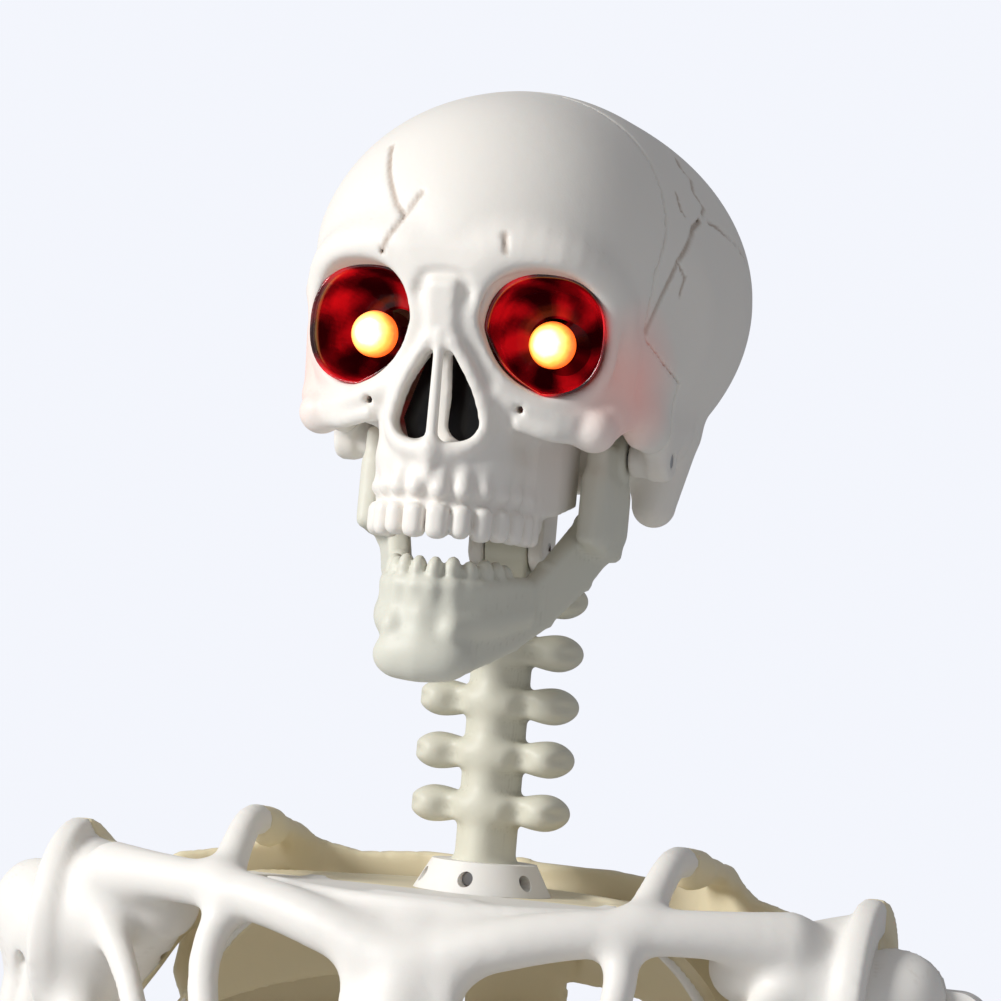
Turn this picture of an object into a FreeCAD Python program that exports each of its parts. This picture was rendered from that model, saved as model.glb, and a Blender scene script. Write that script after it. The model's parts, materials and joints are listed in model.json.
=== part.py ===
"""Posable life-size skeleton figure with lit eyes: hollow moulded bones joined by real pins, hubs and swivels.

Millimetres, +Z up, the figure faces -Y and its left side is +X. Heights are worked out above the soles and y from
the shoulder axis; at export every piece moves so that the origin is the mouth of the hanging hole in the back.
"""
import FreeCAD
import Part
import math
import os

Vector = FreeCAD.Vector

# ---- driving dimensions -------------------------------------------------------------------------------------
# heights and limb lengths
ANKLE_HEIGHT = 75.0
SHIN_LENGTH = 377.0
THIGH_LENGTH = 398.0
HIP_TO_WAIST_SWIVEL = 122.0
LUMBAR_LENGTH = 116.0
WAIST_TO_SHOULDER = 250.0
SHOULDER_TO_COLLAR = 27.0
NECK_LENGTH = 125.0
COLLAR_HEIGHT = 11.0
UPPER_ARM_LENGTH = 270.0
FOREARM_LENGTH = 235.0
ARM_HANG_ANGLE = 6.0
# skull
CRANIUM_RADIUS = 74.0
CRANIUM_HALF_LENGTH = 92.0
NOD_TO_CRANIUM = 89.0
ORBIT_DROP = 19.0
SKULL_WALL = 3.0
ORBIT_SPACING = 63.5
ORBIT_RADIUS = 20.5
SOCKET_TAPER = 0.12
EYE_TOE_OUT = 8.0
LENS_RADIUS = 8.2
JAW_WALL = 8.0
# trunk
CHEST_WALL = 4.0
RIB_HEIGHT = 14.0
RIB_GAP = 15.0
RIB_SLOPE = 20.0
RIB_GAPS = 7
SHOULDER_FACE = 151.0
HIP_FACE = 68.0
NECK_Y = 22.0
SPINE_Y = 50.0
PELVIS_WALL = 5.0
# joints
PIN_RADIUS = 2.5
RUNNING_CLEARANCE = 0.05
SIDE_CLEARANCE = 0.4
AXLE_RADIUS = 8.0
POST_RADIUS = 9.0
PLATE_THICKNESS = 4.0
HUB_EAR = 10.0
SHOULDER_BALL = 23.0
HIP_BALL = 24.0
# hanging hole
HANG_BORE_RADIUS = 4.0
HANG_BORE_LENGTH = 16.0
HANG_BOSS_RADIUS = 11.0

# ---- places that follow from them ---------------------------------------------------------------------------
KNEE_Z = ANKLE_HEIGHT + SHIN_LENGTH
HIP_Z = KNEE_Z + THIGH_LENGTH
SACRUM_TOP_Z = HIP_Z + HIP_TO_WAIST_SWIVEL
WAIST_Z = SACRUM_TOP_Z + LUMBAR_LENGTH
SHOULDER_Z = WAIST_Z + WAIST_TO_SHOULDER
COLLAR_Z = SHOULDER_Z + SHOULDER_TO_COLLAR
NOD_Z = COLLAR_Z + NECK_LENGTH
CRANIUM = Vector(0, 10, NOD_Z + NOD_TO_CRANIUM)
HUB_REACH = 29.0
HIP_REACH = 30.0
SHOULDER_X = SHOULDER_FACE + HUB_REACH
HIP_X = HIP_FACE + HIP_REACH
HANG_Z = SHOULDER_Z - 38.0
HANG_Y = 104.0
TMJ = Vector(0, 2, CRANIUM.z - 55.0)
BACK_PAD_Y = CRANIUM.y + CRANIUM_HALF_LENGTH - 10
BORE_RADIUS = PIN_RADIUS + RUNNING_CLEARANCE

X, Y, Z = Vector(1, 0, 0), Vector(0, 1, 0), Vector(0, 0, 1)
ORIGIN = Vector(0, 0, 0)
PARTS = {}


# ---- small shape helpers ------------------------------------------------------------------------------------
def at(x, y, z):
    return Vector(x, y, z)


def block(x0, x1, y0, y1, z0, z1):
    """Box between two opposite corners."""
    return Part.makeBox(x1 - x0, y1 - y0, z1 - z0, at(x0, y0, z0))


def rod(start, end, radius):
    """Cylinder from one point to another."""
    return Part.makeCylinder(radius, (end - start).Length, start, end - start)


def taper(start, end, first, last):
    """Cone from one point to another."""
    if abs(first - last) < 1e-6:
        return rod(start, end, first)
    return Part.makeCone(first, last, (end - start).Length, start, end - start)


def disc(centre, axis, radius, low, high):
    """Cylinder about an axis through centre, from distance low to distance high along it."""
    return Part.makeCylinder(radius, high - low, centre + axis * low, axis)


def pair(centre, axis, radius, inner, outer):
    """Two discs, one each side of centre: the cheeks of a fork."""
    return disc(centre, axis, radius, inner, outer).fuse(disc(centre, axis, radius, -outer, -inner))


def ball(centre, radius):
    return Part.makeSphere(radius, centre)


def bone(points, radii):
    """Round-ended bar through several points."""
    pieces = []
    for i in range(len(points) - 1):
        pieces.append(taper(points[i], points[i + 1], radii[i], radii[i + 1]))
        pieces.append(ball(points[i + 1], radii[i + 1]))
    return ball(points[0], radii[0]).fuse(pieces)


def prism(outline, along, low, high):
    """Closed outline in the plane across an axis, as a solid from low to high on that axis."""
    make = {"x": lambda a, b: at(low, a, b), "y": lambda a, b: at(a, low, b), "z": lambda a, b: at(a, b, low)}[along]
    push = {"x": X, "y": Y, "z": Z}[along] * (high - low)
    wire = Part.makePolygon([make(a, b) for a, b in outline] + [make(*outline[0])])
    return Part.Face(wire).extrude(push)


def mirrored_outline(half):
    """Outline symmetric about its first coordinate's zero, from the half with positive values."""
    return half + [(-a, b) for a, b in reversed(half) if a > 0]


def turned(profile, wall):
    """Hollow bone turned about the local Z axis from (radius, z) pairs, closed at both ends."""
    def spun(pairs):
        wire = Part.makePolygon(
            [at(0, 0, pairs[0][1])] + [at(r, 0, z) for r, z in pairs] + [at(0, 0, pairs[-1][1]), at(0, 0, pairs[0][1])])
        return Part.Face(wire).revolve(ORIGIN, Z, 360)
    inner = [(max(r - wall, 1.0), z) for r, z in profile]
    inner[0] = (inner[0][0], inner[0][1] - wall)
    inner[-1] = (inner[-1][0], inner[-1][1] + wall)
    return spun(profile), spun(inner)


def mirror(shape):
    return shape.mirror(ORIGIN, X)


def both(shape):
    """The shape with its mirror image, as one."""
    return shape.fuse(mirror(shape))


def moved(shape, place, tilt=0.0):
    """A copy turned about Y by tilt degrees, so that its lower end swings to +X, then set at a place."""
    copy = shape.copy()
    copy.rotate(ORIGIN, Y, -tilt)
    copy.translate(place)
    return copy


def keep(name, shape):
    """Stores a piece under its node name, moved into the figure's own frame."""
    solid = shape.copy()
    solid.translate(at(0, -HANG_Y, -HANG_Z))
    PARTS[name] = Part.makeCompound(solid.Solids) if len(solid.Solids) > 1 else solid.Solids[0]


def keep_pair(name, shape):
    """Stores the left piece and its mirror image."""
    keep(name + "_left", shape)
    keep(name + "_right", mirror(shape))


# ---- skull --------------------------------------------------------------------------------------------------
def cranium(inset):
    """Egg-shaped braincase: half an ellipse turned about its front-to-back axis."""
    ellipse = Part.Ellipse(ORIGIN, CRANIUM_HALF_LENGTH - inset, CRANIUM_RADIUS - inset)
    arc = Part.ArcOfEllipse(ellipse, 0, math.pi).toShape()
    arc.rotate(ORIGIN, Z, 90)
    chord = Part.makeLine(arc.Vertexes[-1].Point, arc.Vertexes[0].Point)
    solid = Part.Face(Part.Wire([arc, chord])).revolve(ORIGIN, Y, 360)
    solid.translate(CRANIUM)
    return solid


def face_block(inset):
    """Face and upper jaw: one outline from each of three directions, where all three overlap."""
    c, low = CRANIUM.z, CRANIUM.z - 91
    plan = mirrored_outline([(0, -88 + inset), (14, -88 + inset), (26 - inset, -82 + inset), (40 - inset, -70 + inset),
                             (54 - inset, -58 + inset), (62 - inset, -44 + inset), (64 - inset, -10), (0, -10)])
    side = [(-10, c + 16 - inset), (-77 + inset, c + 14 - inset), (-79 + inset, c + 4), (-76 + inset, c - 8),
            (-84 + inset, c - 22), (-80 + inset, c - 58), (-87 + inset, c - 79), (-85 + inset, low + inset),
            (-24 - inset, low + inset), (-24 - inset, c - 62 + inset), (-10, c - 52 + inset)]
    front = mirrored_outline([(0, c + 20), (52 - inset, c + 13), (59 - inset, c - 8), (64 - inset, c - 30),
                              (62 - inset, c - 48 + inset), (54 - inset, c - 57 + inset), (40 - inset, c - 59 + inset),
                              (36 - inset, c - 68), (33 - inset, low + inset), (0, low + inset)])
    shape = prism(plan, "z", low - 5, c + 30)
    shape = shape.common(prism(side, "x", -90, 90))
    return shape.common(prism(front, "y", -120, 0))


def eye_axis():
    """Centre of the left eye's rim and the way it looks: forward and slightly out."""
    look = at(math.sin(math.radians(EYE_TOE_OUT)), -math.cos(math.radians(EYE_TOE_OUT)), 0)
    return at(ORBIT_SPACING / 2, -64, CRANIUM.z - ORBIT_DROP), look


def socket(inset, front, back):
    """Tapering eye socket, shrunk by inset, from front ahead of the rim to back behind it."""
    centre, look = eye_axis()
    first, last = [ORBIT_RADIUS + (reach - 6) * SOCKET_TAPER - inset for reach in (front, -back)]
    return taper(centre + look * front, centre - look * back, first, last)


def eye_rod(radius, front, back):
    """Cylinder on the left eye's axis."""
    centre, look = eye_axis()
    return rod(centre + look * front, centre - look * back, radius)


def make_skull():
    """Front and rear shells with the jaw bosses and the lugs for the nod pin."""
    c = CRANIUM.z
    base = c - 45
    braincase = cranium(0).cut(block(-90, 90, -120, 18, c - 90, base))
    braincase = braincase.cut(block(-90, 90, 18, 120, c - 90, c - 68))
    arch = both(block(54.5, 62.5, -34, 14, c - 62, c - 36))
    mastoid = both(bone([at(50, 34, c - 45), at(49, 32, c - 72)], [14, 9]))
    outer = braincase.fuse([face_block(0), arch, mastoid])
    cavity = cranium(SKULL_WALL).cut(block(-90, 90, -120, 18, c - 90, base + SKULL_WALL))
    cavity = cavity.cut(block(-90, 90, 15, 120, c - 90, c - 65)).fuse(face_block(4))
    shell = outer.cut(cavity)
    shell = shell.cut(both(socket(0, 40, 24)))
    nose = both(prism([(2, c - 29), (5, c - 29), (13, c - 50), (10, c - 60), (2.5, c - 60)], "y", -110, -62))
    shell = shell.cut(nose)
    foramen = Part.makeCylinder(20, 40, at(0, NECK_Y + 2, c - 90), Z)
    shell = shell.cut(foramen.fuse(block(-20, 20, -20, NECK_Y, c - 90, c - 62)))
    nod = at(0, NECK_Y, NOD_Z)
    bridge = block(-30, 30, NECK_Y - 9, NECK_Y + 9, c - 68, c - 62)
    lug = both(block(8.4, 14, NECK_Y - 9, NECK_Y + 9, NOD_Z, c - 62).fuse(disc(nod, X, 9, 8.4, 14)))
    shell = shell.fuse([bridge, lug])
    shell = shell.cut(disc(nod, X, PIN_RADIUS, -40, 40))
    shell = shell.cut(disc(TMJ, X, PIN_RADIUS, -70, 70))
    shell = shell.cut(both(block(40, 54.4, -12, 18, c - 90, c - 46)))
    pad = block(-34, 34, BACK_PAD_Y, BACK_PAD_Y + 28, c - 40, c + 40)
    shell = shell.cut(pad)
    plate = Part.makeCylinder(31.5, 3, at(0, BACK_PAD_Y - 3, c), Y)
    plate = plate.cut(block(-24.3, 24.3, 0, 200, c - 12.3, c + 20.3)).cut(block(-6, 6, 0, 200, c - 24, c - 18))
    shell = shell.cut(block(-24.3, 24.3, BACK_PAD_Y - 22, BACK_PAD_Y + 28, c - 12.3, c + 20.3)).fuse(plate)
    shell = shell.cut(block(-6, 6, BACK_PAD_Y - 10, BACK_PAD_Y + 28, c - 24, c - 18))
    seam = [(-150, c + 110), (10, c + 110), (-40, c + 8), (-40, c - 16), (-9, c - 28), (-9, c - 110), (-150, c - 110)]
    front_room = prism(seam, "x", -120, 120)
    keep("skull_front", shell.common(front_room))
    keep("skull_back", shell.cut(front_room))
    keep("jaw_pins", Part.makeCompound([
        s for s in both(disc(TMJ, X, PIN_RADIUS, 43, 62).fuse(disc(TMJ, X, 5, 40.5, 43.5))).Solids]))
    keep("nod_pin", disc(nod, X, PIN_RADIUS, -14, 14))


def make_eyes():
    """Cups, lenses and lights in the eye sockets, and the black insert behind the nose."""
    c = CRANIUM.z
    cup = socket(0.2, 6, 23).cut(socket(1.8, 7, 21)).cut(eye_rod(LENS_RADIUS, 10, 30))
    trim = block(-60, 60, -60, 0, -60, 60)
    trim.rotate(ORIGIN, Z, 27)
    trim.translate(eye_axis()[0])
    keep_pair("eye_cup", cup.cut(trim))
    centre, look = eye_axis()
    lens = eye_rod(LENS_RADIUS - 0.1, -12, 24).fuse(ball(centre - look * 12, LENS_RADIUS - 0.1))
    keep_pair("eye_lens", lens.cut(eye_rod(2.6, -14, 30)))
    keep("eye_leds", both(eye_rod(2.5, -16, 27)))
    nose = mirrored_outline([(0, c - 25), (8, c - 25), (16, c - 50), (12, c - 62), (0, c - 62)])
    keep("nose_insert", prism(nose, "y", -66, -63))


def make_battery():
    """Battery case in the back of the skull, its cells, door and screw, the switch, the circuit board and wires."""
    c, back = CRANIUM.z, BACK_PAD_Y
    case = block(-26, 26, back - 22, back - 3, c - 14, c + 22)
    case = case.cut(block(-24.3, 24.3, back - 20, back, c - 12.3, c + 20.3))
    case = case.common(cranium(SKULL_WALL + 0.3))
    keep("battery_case", case)
    cells = [disc(at(0, back - 13.5, c + z), X, 5.2, -22, 22) for z in (-2.5, 10.5)]
    keep("battery_cells", Part.makeCompound(cells))
    door = block(-24, 24, back - 2.8, back - 0.2, c - 12, c + 20)
    door = door.cut(disc(at(0, back, c + 16), Y, 1.6, -10, 10))
    keep("battery_door", door)
    head = disc(at(0, back, c + 16), Y, 2.6, -0.2, 1).fuse(disc(at(0, back, c + 16), Y, 1.5, -7.5, 0))
    keep("door_screw", head)
    board = block(-14, 14, back - 24, back - 22, c - 24, c + 6)
    keep("circuit_board", board)
    knob = block(-4.5, -0.5, back - 8, back + 1.5, c - 23, c - 19).fuse(block(-5, 3, back - 8, back - 4, c - 25, c - 17))
    keep("switch_knob", knob)
    start = at(6, back - 25.2, c - 20)
    bend = at(16, CRANIUM.y + 20, c - 20)
    end = eye_axis()[0] - eye_axis()[1] * 29
    wire = rod(start, bend, 1.2).fuse([rod(bend, end, 1.2), ball(bend, 1.5)])
    keep("eye_wires", Part.makeCompound([wire, mirror(wire)]))


def make_jaw():
    """Horseshoe jaw with upright branches that hang on the jaw pins."""
    c = CRANIUM.z
    outer = mirrored_outline([(0, -84), (16, -81), (28, -71), (39, -50), (47, -25), (51, 0), (51, 18), (0, 18)])
    inner = mirrored_outline([(0, -84 + JAW_WALL + 2), (12, -81 + JAW_WALL + 2), (28 - JAW_WALL, -66),
                              (39 - JAW_WALL, -48), (47 - JAW_WALL, -23), (51 - JAW_WALL, 0),
                              (51 - JAW_WALL, 19), (0, 19)])
    body = prism(outer, "z", c - 139, c - 104).cut(prism(inner, "z", c - 140, c - 100))
    body = body.cut(prism([(-90, c - 150), (-90, c - 140), (30, c - 118), (30, c - 150)], "x", -80, 80))
    branch = prism([(-18, c - 108), (-11, TMJ.z - 12), (-6, TMJ.z), (10, TMJ.z), (12, c - 80), (18, c - 118),
                    (-6, c - 124)], "x", 44, 52).fuse(disc(TMJ, X, 8, 44, 52))
    teeth = mirrored_outline([(0, -83), (15, -80), (27, -70), (36, -52), (32, -50), (22, -66), (12, -74), (0, -76)])
    jaw = body.fuse([both(branch), prism(teeth, "z", c - 106, c - 98)])
    keep("jaw", jaw.cut(disc(TMJ, X, BORE_RADIUS, -70, 70)))


# ---- neck ---------------------------------------------------------------------------------------------------
def make_neck():
    """Stack of neck bones on a swivel post, its retainer, and the collar that the post turns in."""
    nod = at(0, NECK_Y, NOD_Z)
    rest = COLLAR_Z + COLLAR_HEIGHT + SIDE_CLEARANCE
    core = Part.makeCylinder(11, NOD_Z - 14 - rest, at(0, NECK_Y, rest), Z)
    wings = []
    for i in range(5):
        z = NOD_Z - 18 - i * (NECK_LENGTH - 29) / 5
        wing = block(-22, 22, NECK_Y - 11, NECK_Y + 12, z - 5.5, z + 5.5)
        ends = [Part.makeCylinder(11.4, 11, at(s * 19, NECK_Y, z - 5.5), Z) for s in (-1, 1)]
        spine = bone([at(0, NECK_Y + 10, z), at(0, NECK_Y + 27, z - 3)], [5, 4])
        wings += [wing, spine] + ends
    tongue = disc(nod, X, 8.5, -8, 8).fuse(block(-8, 8, NECK_Y - 7, NECK_Y + 7, NOD_Z - 18, NOD_Z))
    post = Part.makeCylinder(POST_RADIUS, 34, at(0, NECK_Y, COLLAR_Z - 19), Z)
    column = core.fuse(wings + [tongue, post]).cut(disc(nod, X, BORE_RADIUS, -20, 20))
    column = column.cut(Part.makeCylinder(2, 12, at(0, NECK_Y, COLLAR_Z - 20), Z))
    keep("neck_column", column)
    retainer = Part.makeCylinder(14, 3, at(0, NECK_Y, COLLAR_Z - PLATE_THICKNESS - 3.4), Z)
    retainer = retainer.cut(Part.makeCylinder(POST_RADIUS, 20, at(0, NECK_Y, COLLAR_Z - 19), Z))
    keep("neck_retainer", retainer)
    collar = Part.makeCone(25, 19, COLLAR_HEIGHT, at(0, NECK_Y, COLLAR_Z), Z)
    collar = collar.cut(Part.makeCylinder(POST_RADIUS + RUNNING_CLEARANCE, 40, at(0, NECK_Y, COLLAR_Z - 10), Z))
    screws = []
    for angle in (-150, -90, -30, 90):
        out = at(math.cos(math.radians(angle)), math.sin(math.radians(angle)), 0)
        centre = at(0, NECK_Y, COLLAR_Z + 5)
        collar = collar.cut(disc(centre, out, 2.8, 15, 30)).cut(disc(centre, out, 1.2, 11, 20))
        screws.append(disc(centre, out, 2.4, 15, 17).fuse(disc(centre, out, 1.2, 11, 15)))
    keep("neck_collar", collar)
    keep("collar_screws", Part.makeCompound(screws))


# ---- chest --------------------------------------------------------------------------------------------------
CHEST_SECTIONS = [  # height from the shoulder axis, half width, half depth
    (30, 52, 50), (8, 86, 70), (-45, 120, 88), (-115, 136, 96), (-185, 134, 92), (-262, 116, 80)]


def barrel(inset):
    """Rib barrel as a loft through ellipses, open at both ends once hollowed."""
    wires = []
    for dz, width, depth in CHEST_SECTIONS:
        ring = Part.Ellipse(at(0, 4, SHOULDER_Z + dz), width - inset, depth - inset)
        wires.append(Part.Wire(ring.toShape()))
    return Part.makeLoft(wires, True)


def barrel_width(dz):
    """Half width of the rib barrel at a height from the shoulder axis."""
    rows = CHEST_SECTIONS
    for (z1, w1, _), (z0, w0, _) in zip(rows, rows[1:]):
        if z0 <= dz <= z1:
            return w0 + (w1 - w0) * (dz - z0) / (z1 - z0)
    return rows[-1][1]


def make_chest():
    """Front and back rib shells that clamp the shoulder hubs and the neck between them."""
    outer, inner = barrel(0), barrel(CHEST_WALL)
    shell = outer.cut(inner)
    pitch, top_gap = RIB_HEIGHT + RIB_GAP, SHOULDER_Z - 50
    gaps = []
    for low_x, high_x in ((-180, -20), (20, 180)):
        gaps += [block(low_x, high_x, -160, 0, top_gap - i * pitch, top_gap - i * pitch + RIB_GAP)
                 for i in range(-2, RIB_GAPS)]
        gaps += [block(low_x, high_x, 0, 160, top_gap - i * pitch, top_gap - i * pitch + RIB_GAP)
                 for i in range(RIB_GAPS)]
    slits = gaps[0].multiFuse(gaps[1:])
    slits.rotate(at(0, 0, top_gap), X, RIB_SLOPE)
    low = SHOULDER_Z - 262

    def costal(margin):
        return prism([(-95 - margin, low - 5), (95 + margin, low - 5), (10 + margin, low + 70 + margin),
                      (-10 - margin, low + 70 + margin)], "y", -160, 0)
    shell = shell.cut(slits.cut(costal(9))).cut(costal(0))
    yoke = block(-90, 90, -90, 90, COLLAR_Z - PLATE_THICKNESS, COLLAR_Z).common(barrel(0.5))
    pieces = [yoke]
    for side in (-1, 1):
        cup = disc(at(0, 0, SHOULDER_Z), X * side, 34, SHOULDER_FACE - 30, SHOULDER_FACE)
        cup = cup.cut(disc(at(0, 0, SHOULDER_Z), X * side, 30, SHOULDER_FACE - 40, SHOULDER_FACE - PLATE_THICKNESS))
        bar = bone([at(side * 24, -54, COLLAR_Z - 10), at(side * 82, -44, SHOULDER_Z + 18),
                    at(side * 128, -22, SHOULDER_Z + 20)], [8, 8, 9])
        prong = bone([at(side * 79, -40, SHOULDER_Z + 18), at(side * 79, -8, SHOULDER_Z + 38),
                      at(side * 79, 24, SHOULDER_Z + 30), at(side * 84, 62, SHOULDER_Z + 2)], [8, 8, 7, 7])
        blade = prism([(62, SHOULDER_Z + 12), (130, SHOULDER_Z + 22), (136, SHOULDER_Z - 16), (96, SHOULDER_Z - 112),
                       (72, SHOULDER_Z - 96)], "y", 0, 6)
        blade.rotate(at(62, 0, SHOULDER_Z), Z, -32)
        blade.translate(at(0, 78, 0))
        stay = bone([at(127, 24, SHOULDER_Z + 12), at(104, 60, SHOULDER_Z + 12)], [7, 7])
        under = bone([at(side * 128, -24, SHOULDER_Z - 22), at(side * 108, -56, SHOULDER_Z - 76)], [8, 7])
        inside = disc(at(0, 0, SHOULDER_Z), X * side, 30, SHOULDER_FACE - 44, SHOULDER_FACE - PLATE_THICKNESS)
        rear = blade.fuse(stay) if side > 0 else mirror(blade.fuse(stay))
        arm_root = cup.fuse([bar, prong, under, rear]).cut(inside)
        pieces.append(arm_root)
    chest = shell.fuse(pieces)
    boss = disc(at(0, HANG_Y, HANG_Z), Y, HANG_BOSS_RADIUS, -24, 0)
    standoffs = [disc(at(0, SPINE_Y + 12, SHOULDER_Z + dz), Y, 6, 0, 34).common(outer) for dz in (-100, -160, -220)]
    chest = chest.fuse([boss] + standoffs)
    chest = chest.cut(disc(at(0, HANG_Y, HANG_Z), Y, HANG_BORE_RADIUS, -HANG_BORE_LENGTH, 5))
    chest = chest.cut(disc(at(0, 0, SHOULDER_Z), X, AXLE_RADIUS + RUNNING_CLEARANCE, -170, 170))
    chest = chest.cut(Part.makeCylinder(POST_RADIUS + RUNNING_CLEARANCE, 40, at(0, NECK_Y, COLLAR_Z - 20), Z))
    chest = chest.cut(Part.makeCone(25, 19, COLLAR_HEIGHT, at(0, NECK_Y, COLLAR_Z), Z))
    bosses, screws = [], []
    for k in (0, 2, 5):
        dz = -50 - k * pitch - RIB_HEIGHT / 2
        for side in (-1, 1):
            spot = at(side * (barrel_width(dz) - 7), 0, SHOULDER_Z + dz)
            bosses.append(disc(spot, Y, 5, -12, 12))
            screws.append(disc(spot, Y, 1.5, -10, 10).fuse(disc(spot, Y, 3, 10, 12)))
    posts = bosses[0].multiFuse(bosses[1:])
    chest = chest.fuse(posts).cut(Part.makeCompound(screws))
    front_room = block(-250, 250, -250, 0, SHOULDER_Z - 300, SHOULDER_Z + 80)
    keep("chest_front", chest.common(front_room))
    keep("chest_back", chest.cut(front_room))
    keep("chest_screws", Part.makeCompound(screws))


def vertebra(place, radius, height, wing, process):
    """One spine bone: a waisted body, side wings and a rear process."""
    body = Part.makeCylinder(radius, height * 0.7, place - Z * (height * 0.35), Z)
    sides = bone([place - X * wing + Y * 6, place + X * wing + Y * 6], [4, 4])
    rear = bone([place + Y * radius * 0.6, place + Y * process - Z * 5], [4.5, 3.5])
    return [body, sides, rear]


def make_spine():
    """Upper spine fixed in the back shell, with the waist fork, and the lumbar column with its swivel post."""
    pin_at = at(0, SPINE_Y, WAIST_Z)
    top = SHOULDER_Z - 20
    core = Part.makeCylinder(9, top - WAIST_Z - 14, at(0, SPINE_Y, WAIST_Z + 14), Z)
    pieces = []
    for i in range(8):
        pieces += vertebra(at(0, SPINE_Y, WAIST_Z + 26 + i * 26), 13, 26, 24, 12)
    fork = pair(pin_at, X, 10, 8.4, 14).fuse(block(-14, 14, SPINE_Y - 9, SPINE_Y + 9, WAIST_Z, WAIST_Z + 22))
    fork = fork.cut(block(-8.4, 8.4, SPINE_Y - 20, SPINE_Y + 20, WAIST_Z - 20, WAIST_Z + 11))
    spine = core.fuse(pieces + [fork]).cut(disc(pin_at, X, PIN_RADIUS, -30, 30))
    room = [disc(at(0, SPINE_Y + 12, SHOULDER_Z + dz), Y, 6.2, 0, 30) for dz in (-100, -160, -220)]
    keep("thoracic_spine", spine.cut(Part.makeCompound(room)))
    keep("waist_pin", disc(pin_at, X, PIN_RADIUS, -14, 14))
    lumbar = Part.makeCylinder(11, WAIST_Z - 18 - SACRUM_TOP_Z - 1, at(0, SPINE_Y, SACRUM_TOP_Z + 1), Z)
    bones = []
    for i in range(3):
        bones += vertebra(at(0, SPINE_Y, SACRUM_TOP_Z + 20 + i * 30), 18, 30, 30, 34)
    tongue = disc(pin_at, X, 9.5, -8, 8).fuse(block(-8, 8, SPINE_Y - 8, SPINE_Y + 8, WAIST_Z - 20, WAIST_Z))
    post = Part.makeCylinder(POST_RADIUS, 36, at(0, SPINE_Y, SACRUM_TOP_Z - 30), Z)
    column = lumbar.fuse(bones + [tongue, post]).cut(disc(pin_at, X, BORE_RADIUS, -30, 30))
    keep("lumbar_spine", column)
    ring = Part.makeCylinder(14, 3, at(0, SPINE_Y, SACRUM_TOP_Z - 24.4), Z)
    keep("lumbar_retainer", ring.cut(Part.makeCylinder(POST_RADIUS, 40, at(0, SPINE_Y, SACRUM_TOP_Z - 40), Z)))


# ---- pelvis -------------------------------------------------------------------------------------------------
def make_pelvis():
    """Front and back shells of the pelvis, which clamp the hip hubs between them."""
    def bowl(inset):
        wires = []
        for dz, width, depth in ((108, 134, 70), (70, 124, 68), (40, 92, 60), (0, 66, 52), (-36, 50, 42)):
            ring = Part.Ellipse(at(0, 8, HIP_Z + dz), width - inset, depth - inset)
            wires.append(Part.Wire(ring.toShape()))
        return Part.makeLoft(wires, True)
    shell = bowl(0).cut(bowl(PELVIS_WALL))
    shell = shell.cut(prism([(-90, HIP_Z + 120), (90, HIP_Z + 120), (44, HIP_Z + 14), (-44, HIP_Z + 14)], "y", -120, -12))
    shell = shell.cut(both(disc(at(27, 0, HIP_Z - 14), Y, 14, -120, 0)))
    shell = shell.cut(both(block(HIP_FACE - 2, 160, -120, 120, HIP_Z - 60, HIP_Z + 33)))
    pubis = block(-52, 52, -46, -36, HIP_Z - 6, HIP_Z + 12)
    sacrum = block(-26, 26, SPINE_Y - 18, SPINE_Y + 18, SACRUM_TOP_Z - 92, SACRUM_TOP_Z)
    sacrum = sacrum.cut(block(-19, 19, SPINE_Y - 30, SPINE_Y + 14.5, SACRUM_TOP_Z - 88, SACRUM_TOP_Z - 21))
    sides = []
    for side in (-1, 1):
        boss = disc(at(0, 0, HIP_Z), X * side, 25, HIP_FACE - 30, HIP_FACE)
        boss = boss.cut(disc(at(0, 0, HIP_Z), X * side, 21, HIP_FACE - 26, HIP_FACE - PLATE_THICKNESS))
        sides.append(boss)
    inside = both(disc(at(0, 0, HIP_Z), X, 21, HIP_FACE - 26, HIP_FACE - PLATE_THICKNESS))
    pelvis = shell.fuse([pubis, sacrum] + sides).cut(inside)
    pelvis = pelvis.cut(disc(at(0, 0, HIP_Z), X, AXLE_RADIUS + RUNNING_CLEARANCE, -80, 80))
    pelvis = pelvis.cut(Part.makeCylinder(POST_RADIUS + RUNNING_CLEARANCE, 60, at(0, SPINE_Y, SACRUM_TOP_Z - 40), Z))
    screws = []
    for side in (-1, 1):
        spot = at(side * 44, 0, HIP_Z + 16)
        screws.append(disc(spot, Y, 1.5, -9, 9))
    pelvis = pelvis.fuse([disc(at(s * 44, 0, HIP_Z + 16), Y, 5, -12, 12) for s in (-1, 1)])
    pelvis = pelvis.cut(inside).cut(Part.makeCompound(screws))
    front_room = block(-250, 250, -250, 0, HIP_Z - 100, HIP_Z + 200)
    keep("pelvis_front", pelvis.common(front_room))
    keep("pelvis_back", pelvis.cut(front_room))
    keep("pelvis_screws", Part.makeCompound(screws))


# ---- limbs, all modelled for the left side hanging straight down from their own joint ----------------------------
def hub(face_gap, ear_radius):
    """Two-way joint piece: an axle clamped in the shell's wall and an ear for the limb's pin."""
    plate_in = -face_gap - PLATE_THICKNESS
    axle = disc(ORIGIN, X, AXLE_RADIUS, plate_in - 1, -face_gap + 1)
    inner = disc(ORIGIN, X, 12, plate_in - 3.5, plate_in - 0.4)
    outer = disc(ORIGIN, X, 16, -face_gap + 0.4, -face_gap + 3.4)
    ear = block(-face_gap + 3, 0, -HUB_EAR / 2, HUB_EAR / 2, -ear_radius, ear_radius)
    ear = ear.fuse(disc(ORIGIN, Y, ear_radius, -HUB_EAR / 2, HUB_EAR / 2))
    ear = ear.common(disc(ORIGIN, X, 16, -face_gap - 20, 40))
    return axle.fuse([inner, outer, ear]).cut(disc(ORIGIN, Y, BORE_RADIUS, -30, 30))


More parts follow.
